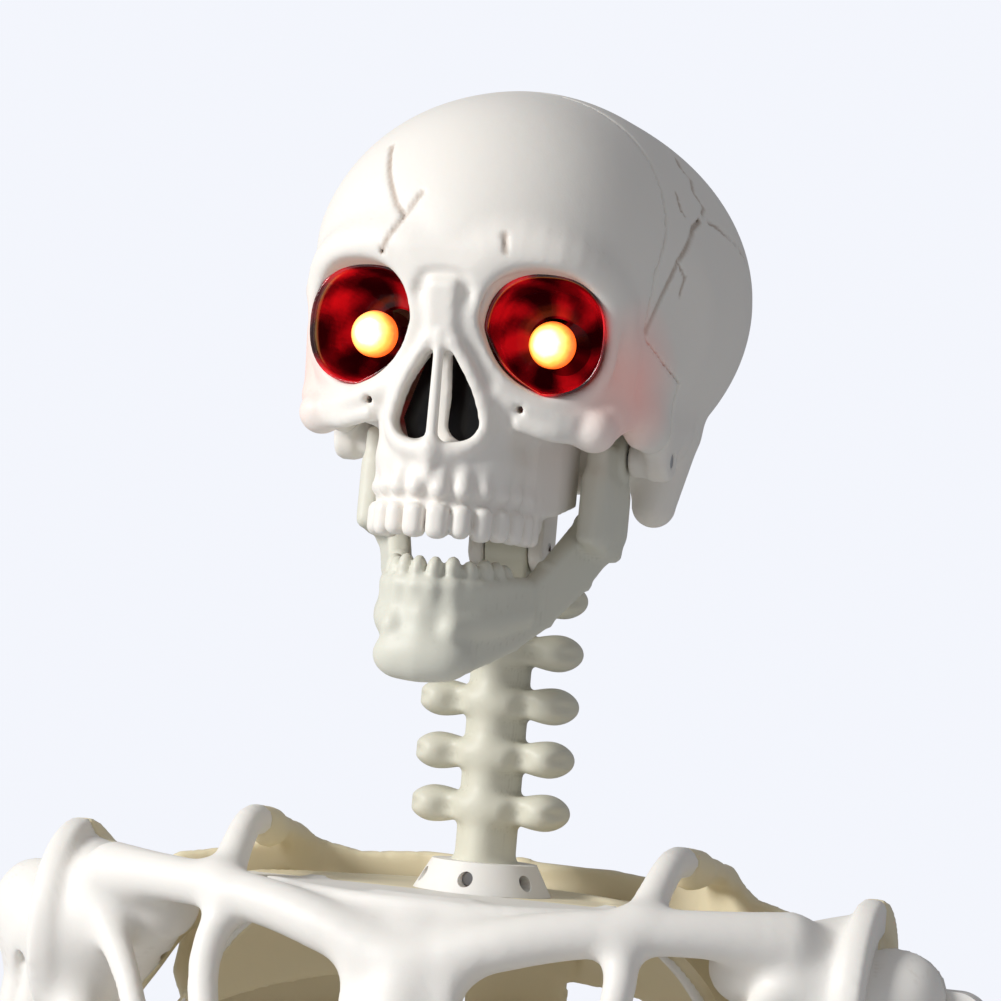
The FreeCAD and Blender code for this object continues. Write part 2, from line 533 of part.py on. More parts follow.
def ball_end(radius, ear_radius):
    """Slotted ball at the top of a limb: (ball, slot for the ear)."""
    slot = block(-40, 40, -HUB_EAR / 2 - SIDE_CLEARANCE, HUB_EAR / 2 + SIDE_CLEARANCE, -ear_radius - 3.5, 60)
    return ball(ORIGIN, radius), slot


def fork_end(length, radius, gap, outer, depth, reach):
    """Fork at the lower end of a limb, about an X axis: (solid, slot)."""
    centre = at(0, 0, -length)
    solid = pair(centre, X, radius, gap, outer).fuse(block(-outer, outer, -depth, depth, -length, -length + reach))
    slot = block(-gap, gap, -radius - 12, radius + 12, -length - radius - 2, -length + radius + 2)
    return solid, slot


def make_arms():
    shoulder = at(SHOULDER_X, 0, SHOULDER_Z)
    down = at(math.sin(math.radians(ARM_HANG_ANGLE)), 0, -math.cos(math.radians(ARM_HANG_ANGLE)))
    elbow = shoulder + down * UPPER_ARM_LENGTH
    wrist = elbow + down * FOREARM_LENGTH
    keep_pair("shoulder_hub", moved(hub(HUB_REACH, 11.5), shoulder))
    keep_pair("shoulder_pin", moved(disc(ORIGIN, Y, PIN_RADIUS, -16, 16), shoulder, ARM_HANG_ANGLE))
    length = UPPER_ARM_LENGTH
    head, slot = ball_end(SHOULDER_BALL, 11.5)
    shaft, hollow = turned([(19, -10), (16, -34), (11.5, -75), (10.5, -150), (12.5, -length + 48), (14, -length + 24)], 3)
    bump = ball(at(12, -3, 4), 15)
    fork, elbow_slot = fork_end(length, 15, 6 + SIDE_CLEARANCE, 17, 11, 28)
    hollow = hollow.common(block(-40, 40, -40, 40, -length + 30, -18))
    arm = head.fuse([bump, shaft, fork]).cut(slot).cut(elbow_slot).cut(hollow)
    arm = arm.cut(disc(ORIGIN, Y, PIN_RADIUS, -16, 16)).cut(disc(at(0, 0, -length), X, PIN_RADIUS, -30, 30))
    keep_pair("upper_arm", moved(arm, shoulder, ARM_HANG_ANGLE))
    keep_pair("elbow_pin", moved(disc(ORIGIN, X, PIN_RADIUS, -17, 17), elbow, ARM_HANG_ANGLE))

    length = FOREARM_LENGTH
    tongue = disc(ORIGIN, X, 14, -6, 6).fuse(block(-6, 6, -7, 8, -24, 0))
    knob = Part.makeCylinder(12, 14, at(0, 3, -34), Z)
    ulna = bone([at(0, 8, -28), at(0, 10, -length * 0.5), at(0, 8, -length + 16)], [7, 5.5, 6.5])
    radius = bone([at(0, -6, -30), at(0, -11, -length * 0.5), at(0, -8, -length + 16)], [6.5, 5.5, 8])
    cheeks = pair(at(0, 0, -length), Y, 9, 4 + SIDE_CLEARANCE, 10)
    bridge = block(-7, 7, -12, 12, -length, -length + 18)
    slot = block(-12, 12, -4 - SIDE_CLEARANCE, 4 + SIDE_CLEARANCE, -length - 12, -length + 10)
    forearm = tongue.fuse([knob, ulna, radius, cheeks, bridge]).cut(slot)
    forearm = forearm.cut(disc(ORIGIN, X, BORE_RADIUS, -30, 30)).cut(disc(at(0, 0, -length), Y, PIN_RADIUS, -30, 30))
    keep_pair("forearm", moved(forearm, elbow, ARM_HANG_ANGLE))
    keep_pair("wrist_pin", moved(disc(ORIGIN, Y, PIN_RADIUS, -10, 10), wrist, ARM_HANG_ANGLE))

    tongue = disc(ORIGIN, Y, 8.5, -4, 4).fuse(block(-6, 6, -4, 4, -14, 0))
    palm = block(-6, 6, -17, 17, -34, -11.5)
    fingers = []
    for y0, y1, reach, size in ((-12, -26, 78, 4.6), (-4, -9, 86, 4.8), (5, 8, 80, 4.6), (12, 24, 70, 4.2)):
        knuckle = at(0, y1, -30 - reach * 0.62)
        middle = knuckle + at(-5, (y1 - y0) * 0.25, -reach * 0.45)
        tip = middle + at(-14, (y1 - y0) * 0.1, -reach * 0.38)
        fingers.append(bone([at(0, y0, -28), knuckle, middle, tip], [size, size, size * 0.85, size * 0.7]))
    thumb = bone([at(0, -13, -20), at(-7, -34, -46), at(-14, -42, -74), at(-20, -44, -96)], [5, 4.8, 4.3, 3.6])
    hand = tongue.fuse([palm, thumb] + fingers).cut(disc(ORIGIN, Y, BORE_RADIUS, -20, 20))
    keep_pair("hand", moved(hand, wrist, ARM_HANG_ANGLE))


def make_legs():
    hip, knee, ankle = at(HIP_X, 0, HIP_Z), at(HIP_X, 0, KNEE_Z), at(HIP_X, 0, ANKLE_HEIGHT)
    keep_pair("hip_hub", moved(hub(HIP_REACH, 11.5), hip))
    keep_pair("hip_pin", moved(disc(ORIGIN, Y, PIN_RADIUS, -17, 17), hip))
    length = THIGH_LENGTH
    head, slot = ball_end(HIP_BALL, 11.5)
    shaft, hollow = turned([(20, -10), (19, -42), (13.5, -95), (12.5, -220), (15, -length + 70), (20, -length + 32)], 3)
    bump = bone([at(14, 4, -4), at(10, 4, -26)], [14, 13])
    fork, knee_slot = fork_end(length, 19, 7 + SIDE_CLEARANCE, 24, 14, 36)
    hollow = hollow.common(block(-40, 40, -40, 40, -length + 38, -20))
    patella = disc(at(0, -14, -length + 14), Y, 14, -9, 0)
    thigh = head.fuse([bump, shaft, fork, patella.cut(disc(at(0, 0, -length), X, 19.5, -8, 8))])
    thigh = thigh.cut(slot).cut(knee_slot).cut(hollow)
    thigh = thigh.cut(disc(ORIGIN, Y, PIN_RADIUS, -17, 17)).cut(disc(at(0, 0, -length), X, PIN_RADIUS, -30, 30))
    keep_pair("thigh", moved(thigh, hip))
    keep_pair("knee_pin", moved(disc(ORIGIN, X, PIN_RADIUS, -24, 24), knee))

    length = SHIN_LENGTH
    tongue = disc(ORIGIN, X, 17.5, -7, 7).fuse(block(-7, 7, -9, 9, -26, 0))
    plateau = block(-24, 24, -17, 9, -36, -21.5)
    tibia = bone([at(-3, -3, -38), at(-3, 0, -length * 0.6), at(-1, 0, -length + 24)], [14, 8.5, 9])
    fibula = bone([at(18, 5, -38), at(17, 5, -length * 0.5), at(12, 3, -length + 16)], [5.5, 4.5, 5])
    fork, ankle_slot = fork_end(length, 12.5, 8 + SIDE_CLEARANCE, 15, 9, 26)
    shin = tongue.fuse([plateau, tibia, fibula, fork]).cut(ankle_slot)
    shin = shin.cut(disc(ORIGIN, X, BORE_RADIUS, -30, 30)).cut(disc(at(0, 0, -length), X, PIN_RADIUS, -30, 30))
    keep_pair("shin", moved(shin, knee))
    keep_pair("ankle_pin", moved(disc(ORIGIN, X, PIN_RADIUS, -15, 15), ankle))

    floor = -ANKLE_HEIGHT
    tongue = disc(ORIGIN, X, 12, -8, 8).fuse(block(-8, 8, -9, 9, -22, 0))
    side = [(52, floor), (58, floor + 20), (44, floor + 38), (16, -16), (-20, -16), (-60, floor + 34), (-98, floor + 20),
            (-98, floor + 7), (-40, floor + 12), (0, floor + 14), (24, floor)]
    plan = [(-17, 60), (17, 60), (20, 0), (34, -98), (-30, -98), (-21, 0)]
    body = prism(side, "x", -40, 40).common(prism(plan, "z", floor, 0))
    toes = []
    for x0, x1, reach, size in ((-22, -24, 44, 8), (-8, -9, 46, 6.4), (4, 5, 40, 6), (16, 17, 32, 6), (27, 28, 24, 6)):
        toes.append(bone([at(x0, -94, floor + 13), at(x1, -94 - reach * 0.6, floor + 8.5), at(x1, -94 - reach, floor + size)],
                         [size + 1, size, size]))
    foot = tongue.fuse([body] + toes).cut(disc(ORIGIN, X, BORE_RADIUS, -30, 30))
    foot = foot.cut(block(-60, 60, -200, 80, floor - 20, floor))
    keep_pair("foot", moved(foot, ankle))


def main():
    make_skull()
    make_eyes()
    make_battery()
    make_jaw()
    make_neck()
    make_chest()
    make_spine()
    make_pelvis()
    make_arms()
    make_legs()
    os.makedirs("parts", exist_ok=True)
    for name, shape in sorted(PARTS.items()):
        if not shape.isValid() or shape.Volume <= 0:
            print("not valid:", name, shape.Volume)
        if len(shape.Solids) != len(PARTS[name].Solids) or not shape.Solids:
            print("no solid in", name)
        shape.exportStep(os.path.join("parts", name + ".step"))
        print(f"{name}: {len(shape.Solids)} solids, {shape.Volume / 1000:.1f} cm3")
    print(len(PARTS), "nodes")


main()
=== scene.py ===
"""Looks of the posable skeleton figure: sculpted bones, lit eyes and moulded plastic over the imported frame."""

import json
import logging
import math
from dataclasses import dataclass, field
from enum import Enum

import bmesh
import bpy
import numpy as np
import openvdb
from mathutils import Matrix, Vector

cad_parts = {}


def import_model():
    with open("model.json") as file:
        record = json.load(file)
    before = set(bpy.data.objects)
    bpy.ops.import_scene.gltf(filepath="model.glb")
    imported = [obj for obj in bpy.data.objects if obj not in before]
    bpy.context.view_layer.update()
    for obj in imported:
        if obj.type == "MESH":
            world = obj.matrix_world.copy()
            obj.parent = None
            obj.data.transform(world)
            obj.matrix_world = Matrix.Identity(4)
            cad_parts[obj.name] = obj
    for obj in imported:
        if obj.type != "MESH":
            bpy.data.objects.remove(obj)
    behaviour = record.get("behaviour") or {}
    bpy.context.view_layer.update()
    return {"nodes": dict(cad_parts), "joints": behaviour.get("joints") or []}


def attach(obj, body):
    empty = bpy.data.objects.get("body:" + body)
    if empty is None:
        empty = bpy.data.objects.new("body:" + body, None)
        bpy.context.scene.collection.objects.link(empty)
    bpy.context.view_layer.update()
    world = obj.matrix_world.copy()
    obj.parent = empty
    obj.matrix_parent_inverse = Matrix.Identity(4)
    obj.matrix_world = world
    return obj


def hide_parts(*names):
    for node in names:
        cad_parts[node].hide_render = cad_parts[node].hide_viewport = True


log = logging.getLogger("skeleton")

MM = 0.001
TINY = 1e-6
SEAM = 0.15
FLOOR = -1.301
Point = tuple[float, float, float]
Window = tuple[slice, slice, slice]


# ---- where the figure's joints are ---------------------------------------------------------------------------
@dataclass(frozen=True)
class Stance:
    """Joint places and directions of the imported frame.

    Args:
        joints: Joint name to its packed description.
    """

    joints: dict[str, dict]

    def place(self, joint: str) -> Vector:
        """Centre of a joint, in metres."""
        return Vector(self.joints[joint]["pos_m"])

    def hang(self, joint: str, end: str) -> Matrix:
        """Frame of a limb that hangs from one joint towards another.

        Args:
            joint: Upper joint.
            end: Lower joint.

        Returns:
            Matrix with its origin at the upper joint and -Z towards the lower one.
        """
        up = (self.place(joint) - self.place(end)).normalized()
        side = Vector((0, 1, 0)).cross(up).normalized()
        return Matrix.Translation(self.place(joint)) @ Matrix((side, up.cross(side), up)).transposed().to_4x4()


def read_stance(frame: dict) -> Stance:
    """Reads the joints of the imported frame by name."""
    return Stance({joint["name"]: joint for joint in frame["joints"]})


# ---- clay: a solid built up from rounded forms ------------------------------------------------------------------
def sides(both: bool) -> tuple[int, ...]:
    """Signs of the side, or both sides, of the figure that a form is made on."""
    return (1, -1) if both else (1,)


def rounded(first: np.ndarray, second: np.ndarray, edge: float) -> np.ndarray:
    """Distance outside what two bounds have in common, with the edge between them rounded."""
    return (np.sqrt(np.maximum(first, 0) ** 2 + np.maximum(second, 0) ** 2)
            + np.minimum(np.maximum(first, second), 0) - edge)


def oval(u: np.ndarray, v: np.ndarray, wide: np.ndarray | float, deep: np.ndarray | float) -> np.ndarray:
    """Distance outside an oval of two half widths."""
    near = np.sqrt((u / wide) ** 2 + (v / deep) ** 2) + TINY
    return np.sqrt(u * u + v * v) * (1 - 1 / near)


def tube(grids: list[np.ndarray], start: np.ndarray, end: np.ndarray, first: float, last: float) -> np.ndarray:
    """Distance outside a round-ended tube between two points.

    Args:
        grids: Open grids of x, y and z.
        start: First point.
        end: Last point.
        first: Radius at the first point.
        last: Radius at the last point.

    Returns:
        Distance over the grids.
    """
    step = end - start
    share = np.clip(sum((g - p) * s for g, p, s in zip(grids, start, step)) / max(float(step @ step), TINY), 0, 1)
    off = np.sqrt(sum((g - p - share * s) ** 2 for g, p, s in zip(grids, start, step)))
    return off - (first + (last - first) * share)


def smooth_path(points: list[Point], radii: list[float] | float) -> np.ndarray:
    """Follows a smooth curve through several points.

    Args:
        points: Points that it passes through.
        radii: Radius at each point, or one for all.

    Returns:
        Rows of x, y, z and radius along the curve.
    """
    radii = [radii] * len(points) if isinstance(radii, (int, float)) else radii
    knots = np.array([(*p, r) for p, r in zip(points, radii)], dtype=np.float32)
    knots = np.vstack([2 * knots[0] - knots[1], knots, 2 * knots[-1] - knots[-2]])
    steps = 3 if len(points) > 2 else 1
    path = []
    for a, b, c, d in zip(knots, knots[1:], knots[2:], knots[3:]):
        for t in np.arange(steps) / steps:
            path.append(0.5 * (2 * b + (c - a) * t + (2 * a - 5 * b + 4 * c - d) * t ** 2
                               + (3 * b - a - 3 * c + d) * t ** 3))
    return np.array(path + [knots[-2]])


class Clay:
    """A solid as a grid of distances in millimetres, built up from rounded forms and then skinned.

    Every form takes the same last arguments. blend is the size of the rounded meeting with what is there, cut takes
    the form away instead, and both makes it on both sides of the figure.

    Args:
        low: Lowest corner of the work space.
        high: Highest corner of the work space.
        grain: Grid spacing.
    """

    FAR = 12.0
    MOST_TRIANGLES = 180_000
    # Reach and depth of the painted shade in hollows.
    PAINTED_SHADE_REACH = 3.0
    PAINTED_SHADE_DEPTH = 1.5

    def __init__(self, low: Point, high: Point, grain: float) -> None:
        """Starts with an empty work space."""
        self.low = np.array(low, dtype=np.float32)
        self.grain = grain
        count = np.ceil((np.array(high) - np.array(low)) / grain).astype(int) + 1
        self.field = np.full(count, self.FAR, dtype=np.float32)
        self.marks: list[tuple[np.ndarray, float]] = []

    @property
    def whole(self) -> Window:
        """Window over the whole work space."""
        return tuple(slice(0, n) for n in self.field.shape)

    def axes(self, window: Window | None = None) -> list[np.ndarray]:
        """Gives the places of the grid.

        Args:
            window: Part of the grid, or None for the whole.

        Returns:
            Open grids of x, y and z.
        """
        window = window or self.whole
        grids = [self.low[i] + self.grain * np.arange(window[i].start, window[i].stop, dtype=np.float32)
                 for i in range(3)]
        return [g.reshape([-1 if k == i else 1 for k in range(3)]) for i, g in enumerate(grids)]

    def window(self, low: Point, high: Point, blend: float) -> Window:
        """Finds the part of the grid that a form can change.

        Args:
            low: Lowest corner of the form.
            high: Highest corner of the form.
            blend: Size of its meeting with what is there.

        Returns:
            Window over the form, its meeting and a few cells more.
        """
        reach = blend + 3 * self.grain
        first = np.floor((np.array(low) - reach - self.low) / self.grain).astype(int)
        last = np.ceil((np.array(high) + reach - self.low) / self.grain).astype(int) + 1
        return tuple(slice(max(0, int(a)), max(0, min(n, int(b))))
                     for a, b, n in zip(first, last, self.field.shape))

    def around(self, centre: Point, size: Point, blend: float) -> tuple[Window, list[np.ndarray]]:
        """Window of a form about its centre, and its grids measured from there."""
        window = self.window([c - s for c, s in zip(centre, size)], [c + s for c, s in zip(centre, size)], blend)
        return window, [g - c for g, c in zip(self.axes(window), centre)]

    def work(self, window: Window, distance: np.ndarray, blend: float, cut: bool) -> None:
        """Joins a form to the solid, or cuts it away.

        Args:
            window: Part of the grid that the form can change.
            distance: Distance outside the form, over the window.
            blend: Size of the rounded meeting with what is there.
            cut: Whether to cut it away.
        """
        old = self.field[window]
        if not old.size:
            return
        if cut:
            distance = -distance
        if blend > 0:
            gap = np.maximum(blend - np.abs(old - distance), 0) / blend
            fillet = gap * gap * (blend / 4)
        else:
            fillet = 0.0
        self.field[window] = np.maximum(old, distance) + fillet if cut else np.minimum(old, distance) - fillet

    def ball(self, centre: Point, radii: Point | float, blend: float = 0, cut: bool = False, both: bool = False
             ) -> None:
        """Adds an ellipsoid.

        Args:
            centre: Its middle.
            radii: Half widths along X, Y and Z, or one for all.
            blend, cut, both: As for every form.
        """
        radii = (radii,) * 3 if isinstance(radii, (int, float)) else radii
        for side in sides(both):
            window, (x, y, z) = self.around((centre[0] * side, *centre[1:]), (max(radii),) * 3, blend)
            near = np.sqrt((x / radii[0]) ** 2 + (y / radii[1]) ** 2 + (z / radii[2]) ** 2) + TINY
            steep = np.sqrt((x / radii[0] ** 2) ** 2 + (y / radii[1] ** 2) ** 2 + (z / radii[2] ** 2) ** 2) + TINY
            self.work(window, near * (near - 1) / steep, blend, cut)

    def bar(self, start: Point, end: Point, first: float, last: float | None = None, blend: float = 0,
            cut: bool = False, both: bool = False) -> None:
        """Adds a round-ended bar that tapers between two points.

        Args:
            start: First point.
            end: Last point.
            first: Radius at the first point.
            last: Radius at the last point, or None for the same.
            blend, cut, both: As for every form.
        """
        last = first if last is None else last
        far = max(first, last)
        for side in sides(both):
            a = np.array([start[0] * side, *start[1:]], dtype=np.float32)
            b = np.array([end[0] * side, *end[1:]], dtype=np.float32)
            window = self.window(np.minimum(a, b) - far, np.maximum(a, b) + far, blend)
            self.work(window, tube(self.axes(window), a, b, first, last), blend, cut)

    def chain(self, points: list[Point], radii: list[float] | float, blend: float = 0, cut: bool = False,
              both: bool = False) -> None:
        """Adds a round bar along a smooth curve.

        Args:
            points: Points that it passes through.
            radii: Radius at each point, or one for all.
            blend, cut, both: As for every form.
        """
        path = smooth_path(points, radii)
        for side in sides(both):
            run = path * (side, 1, 1, 1)
            far = float(run[:, 3].max())
            window = self.window(run[:, :3].min(0) - far, run[:, :3].max(0) + far, blend)
            grids = self.axes(window)
            nearest = np.full([slots.stop - slots.start for slots in window], 1e3, dtype=np.float32)
            for a, b in zip(run, run[1:]):
                nearest = np.minimum(nearest, tube(grids, a[:3], b[:3], a[3], b[3]))
            self.work(window, nearest, blend, cut)

    def slab(self, centre: Point, half: Point, edge: float = 0, blend: float = 0, cut: bool = False,
             both: bool = False, turn: Point = (0, 0, 0)) -> None:
        """Adds a block.

        Args:
            centre: Its middle.
            half: Half its size along X, Y and Z.
            edge: Radius of its edges.
            blend, cut, both: As for every form.
            turn: Angles about X, Y and Z, in degrees.
        """
        reach = math.sqrt(sum(h * h for h in half)) if any(turn) else 0
        for side in sides(both):
            window, (x, y, z) = self.around((centre[0] * side, *centre[1:]), (reach,) * 3 if reach else half, blend)
            x = x * side
            if any(turn):
                back = Matrix.Rotation(-math.radians(turn[0]), 3, "X") @ Matrix.Rotation(
                    -math.radians(turn[1]), 3, "Y") @ Matrix.Rotation(-math.radians(turn[2]), 3, "Z")
                x, y, z = [row[0] * x + row[1] * y + row[2] * z for row in back]
            q = [np.abs(g) - (h - edge) for g, h in zip((x, y, z), half)]
            outside = np.sqrt(sum(np.maximum(g, 0) ** 2 for g in q))
            inside = np.minimum(np.maximum(np.maximum(q[0], q[1]), q[2]), 0)
            self.work(window, outside + inside - edge, blend, cut)

    def drum(self, centre: Point, radii: tuple[float, float], half: float, axis: int = 2, edge: float = 0,
             blend: float = 0, cut: bool = False, both: bool = False) -> None:
        """Adds an oval cylinder.

        Args:
            centre: Its middle.
            radii: Half widths across it.
            half: Half its length.
            axis: Which axis it runs along: 0, 1 or 2.
            edge: Radius of its edges.
            blend, cut, both: As for every form.
        """
        size = [*radii]
        size.insert(axis, half)
        for side in sides(both):
            window, grids = self.around((centre[0] * side, *centre[1:]), size, blend)
            along = grids.pop(axis)
            u, v = grids
            near = np.sqrt((u / radii[0]) ** 2 + (v / radii[1]) ** 2)
            round_off = np.where(near < 0.05, -min(radii), oval(u, v, *radii)) + edge
            self.work(window, rounded(round_off, np.abs(along) - half + edge, edge), blend, cut)

    def ribbon(self, points: list[Point], halves: list[float], thick: float, edge: float = 2, blend: float = 4,
               both: bool = False) -> None:
        """Adds an upright band.

        Args:
            points: Points that its middle line passes through.
            halves: Half its height at each point.
            thick: Half its thickness.
            edge: Radius of its edges.
            blend, both: As for every form.
        """
        for side in sides(both):
            run = np.array(points, dtype=np.float32) * (side, 1, 1)
            reach = max(max(halves), thick)
            window = self.window(run.min(0) - reach, run.max(0) + reach, blend)
            x, y, z = self.axes(window)
            nearest = np.full([slots.stop - slots.start for slots in window], 1e3, dtype=np.float32)
            for a, b, high, next_high in zip(run, run[1:], halves, halves[1:]):
                step = b - a
                share = np.clip(((x - a[0]) * step[0] + (y - a[1]) * step[1])
                                / max(float(step[:2] @ step[:2]), TINY), 0, 1)
                off = np.sqrt((x - a[0] - share * step[0]) ** 2 + (y - a[1] - share * step[1]) ** 2) - thick + edge
                rise = np.abs(z - a[2] - share * step[2]) - (high + (next_high - high) * share) + edge
                nearest = np.minimum(nearest, rounded(off, rise, edge))
            self.work(window, nearest, blend, False)

    def plate(self, corners: list[Point], thick: float, edge: float = 2, blend: float = 0, both: bool = False) -> None:
        """Adds a flat plate.

        Args:
            corners: Its corners, in order round it. They turn one way only.
            thick: Half its thickness.
            edge: Radius of its edges.
            blend, both: As for every form.
        """
        for side in sides(both):
            spots = [Vector((p[0] * side, p[1], p[2])) for p in corners]
            lows = [min(p[i] for p in spots) - thick for i in range(3)]
            highs = [max(p[i] for p in spots) + thick for i in range(3)]
            window = self.window(lows, highs, blend)
            grids = self.axes(window)
            normal = (spots[1] - spots[0]).cross(spots[2] - spots[1]).normalized()
            middle = sum(spots, Vector()) / len(spots)

            def reach(direction: Vector, start: Vector) -> np.ndarray:
                """Distance along a direction from a start, over the window."""
                return sum(float(direction[i]) * (grids[i] - float(start[i])) for i in range(3))

            rim = None
            for a, b in zip(spots, spots[1:] + spots[:1]):
                out = (b - a).cross(normal).normalized()
                near = reach(-out if out.dot(middle - a) > 0 else out, a)
                rim = near if rim is None else np.maximum(rim, near)
            self.work(window, rounded(np.abs(reach(normal, middle)) - thick + edge, rim + edge, edge), blend, False)

    def hollow(self, wall: float) -> None:
        """Empties the inside, leaving a wall."""
        self.field = np.maximum(self.field, -(self.field + wall))

    def surface(self, start: Point, heading: Point) -> Point:
        """Looks for the solid's surface.

        Args:
            start: Where to look from.
            heading: Which way to look.

        Returns:
            First point inside the solid.
        """
        point, step = np.array(start, dtype=float), np.array(heading, dtype=float) * self.grain * 0.5
        for _ in range(600):
            cell = np.round((point - self.low) / self.grain).astype(int)
            if np.all(cell >= 0) and np.all(cell < self.field.shape) and self.field[tuple(cell)] < 0:
                break
            point = point + step
        return tuple(point)

    def engrave(self, points: list[Point], heading: Point, width: float) -> None:
        """Cuts a fine line into the surface.

        Args:
            points: Points that it passes through, in front of the surface.
            heading: Which way they fall on the surface.
            width: Its width.
        """
        line = [self.surface(p, heading) for p in points]
        self.chain(line, width * 0.5, blend=width * 0.6, cut=True)
        # The line is kept so that its groove gets painted shade.
        self.marks.append((np.array(line), width))

    def skin(self, name: str, place: Matrix, mirror: bool = False) -> bpy.types.Object:
        """Makes the mesh of the solid's surface.

        Args:
            name: Name of the new piece.
            place: Where the clay's own frame, in millimetres, stands in the figure.
            mirror: Whether to make the mirror image across the figure's middle.

        Returns:
            The new object, shaded smooth, with its place in its mesh.
        """
        padded = np.pad(self.field, 1, constant_values=self.FAR)
        grid = openvdb.FloatGrid(background=self.FAR)
        grid.copyFromArray(padded)
        points, quads = grid.convertToQuads(isovalue=0.0)
        cells, quads = np.asarray(points, dtype=np.float64) - 1, np.asarray(quads, dtype=np.int64)
        spots = cells * self.grain + self.low
        world = spots @ np.array(place.to_3x3()).T * MM + np.array(place.translation)
        if mirror:
            world = world * np.array([-1, 1, 1])
            quads = quads[:, ::-1]
        mesh = bpy.data.meshes.new(name)
        mesh.from_pydata(world.tolist(), [], quads.tolist())
        self.note_crease_shade(mesh, spots, cells)
        mesh.validate()
        piece = show(name, mesh)
        point_outwards(mesh)
        share = self.MOST_TRIANGLES / (2 * len(quads))
        if share < 1:
            piece.modifiers.new("thinned", "DECIMATE").ratio = share
            with bpy.context.temp_override(object=piece):
                bpy.ops.object.modifier_apply(modifier="thinned")
            piece.data.validate()
        piece.data.shade_smooth()
        return piece

    def note_crease_shade(self, mesh: bpy.types.Mesh, spots: np.ndarray, cells: np.ndarray) -> None:
        """Stores how deep in a hollow each point of the surface lies, and the engraved lines, as a level of painted
        shade.

        Args:
            mesh: Mesh of the surface.
            spots: Its points, in the clay's own frame.
            cells: Its points, counted in cells of the grid.
        """
        soft = np.clip(self.field, -self.FAR / 2, self.FAR / 2)
        reach = max(1, int(round(self.PAINTED_SHADE_REACH / self.grain)))
        span = 2 * reach + 1
        for axis in range(3):
            total = np.cumsum(np.pad(soft, [(reach + 1, reach) if a == axis else (0, 0) for a in range(3)],
                                     mode="edge"), axis=axis, dtype=np.float32)
            high = np.take(total, np.arange(span, total.shape[axis]), axis=axis)
            lowest = np.take(total, np.arange(0, total.shape[axis] - span), axis=axis)
            soft = (high - lowest) / span
        index = np.clip(np.round(cells).astype(int), 0, np.array(self.field.shape) - 1)
        # Painted shade: the blurred solid gives a darker level deep in hollows, with a dead zone so that flat parts
        # stay unshaded.
        level = 0.1 + 0.28 * self.grain ** 2
        crease = np.clip((-soft[tuple(index.T)] - level) / self.PAINTED_SHADE_DEPTH, 0, 1)
        # The engraved lines also get painted shade along their grooves.
        for line, width in self.marks:
            for a, b in zip(line, line[1:]):
                off = tube(list(spots.T), a, b, 0, 0)
                crease = np.maximum(crease, np.clip(1.25 - off / (width * 0.8), 0, 1))
        note(mesh, "crease", crease)


def show(name: str, data: bpy.types.ID) -> bpy.types.Object:
    """Puts a mesh, lamp or camera in the scene.

    Args:
        name: Name of the new object.
        data: What it shows.

    Returns:
        The new object.
    """
    thing = bpy.data.objects.new(name, data)
    bpy.context.collection.objects.link(thing)
    return thing


def note(mesh: bpy.types.Mesh, name: str, values: np.ndarray) -> None:
    """Stores a number on each point of a mesh, for its material to read."""
    mesh.attributes.new(name, "FLOAT", "POINT").data.foreach_set("value", np.asarray(values, dtype=np.float32))


def point_outwards(mesh: bpy.types.Mesh) -> None:
    """Turns a closed mesh so that its faces look out."""
    shape = bmesh.new()
    shape.from_mesh(mesh)
    if shape.calc_volume(signed=True) < 0:
        bmesh.ops.reverse_faces(shape, faces=shape.faces)
        shape.to_mesh(mesh)
    shape.free()


# ---- shader maths as expressions ---------------------------------------------------------------------------------
class Wire:
    """A node socket that can be used in an expression.

    Args:
        tree: Node tree that holds it.
        socket: Output socket.
    """

    def __init__(self, tree: "Recipe", socket: bpy.types.NodeSocket) -> None:
        """Notes the socket and its tree."""
        self.tree = tree
        self.socket = socket

    def _maths(self, operation: str, first: object, second: object) -> "Wire":
        """Adds one Math node on two values."""
        return self.tree.node("ShaderNodeMath", {"operation": operation}, {0: first, 1: second})

    def __add__(self, other: object) -> "Wire":
        """Sum."""
        return self._maths("ADD", self, other)

    def __sub__(self, other: object) -> "Wire":
        """Difference."""
        return self._maths("SUBTRACT", self, other)

    def __rsub__(self, other: object) -> "Wire":
        """Difference from a number."""
        return self._maths("SUBTRACT", other, self)

    def __mul__(self, other: object) -> "Wire":
        """Product."""
        return self._maths("MULTIPLY", self, other)

    __radd__ = __add__
    __rmul__ = __mul__


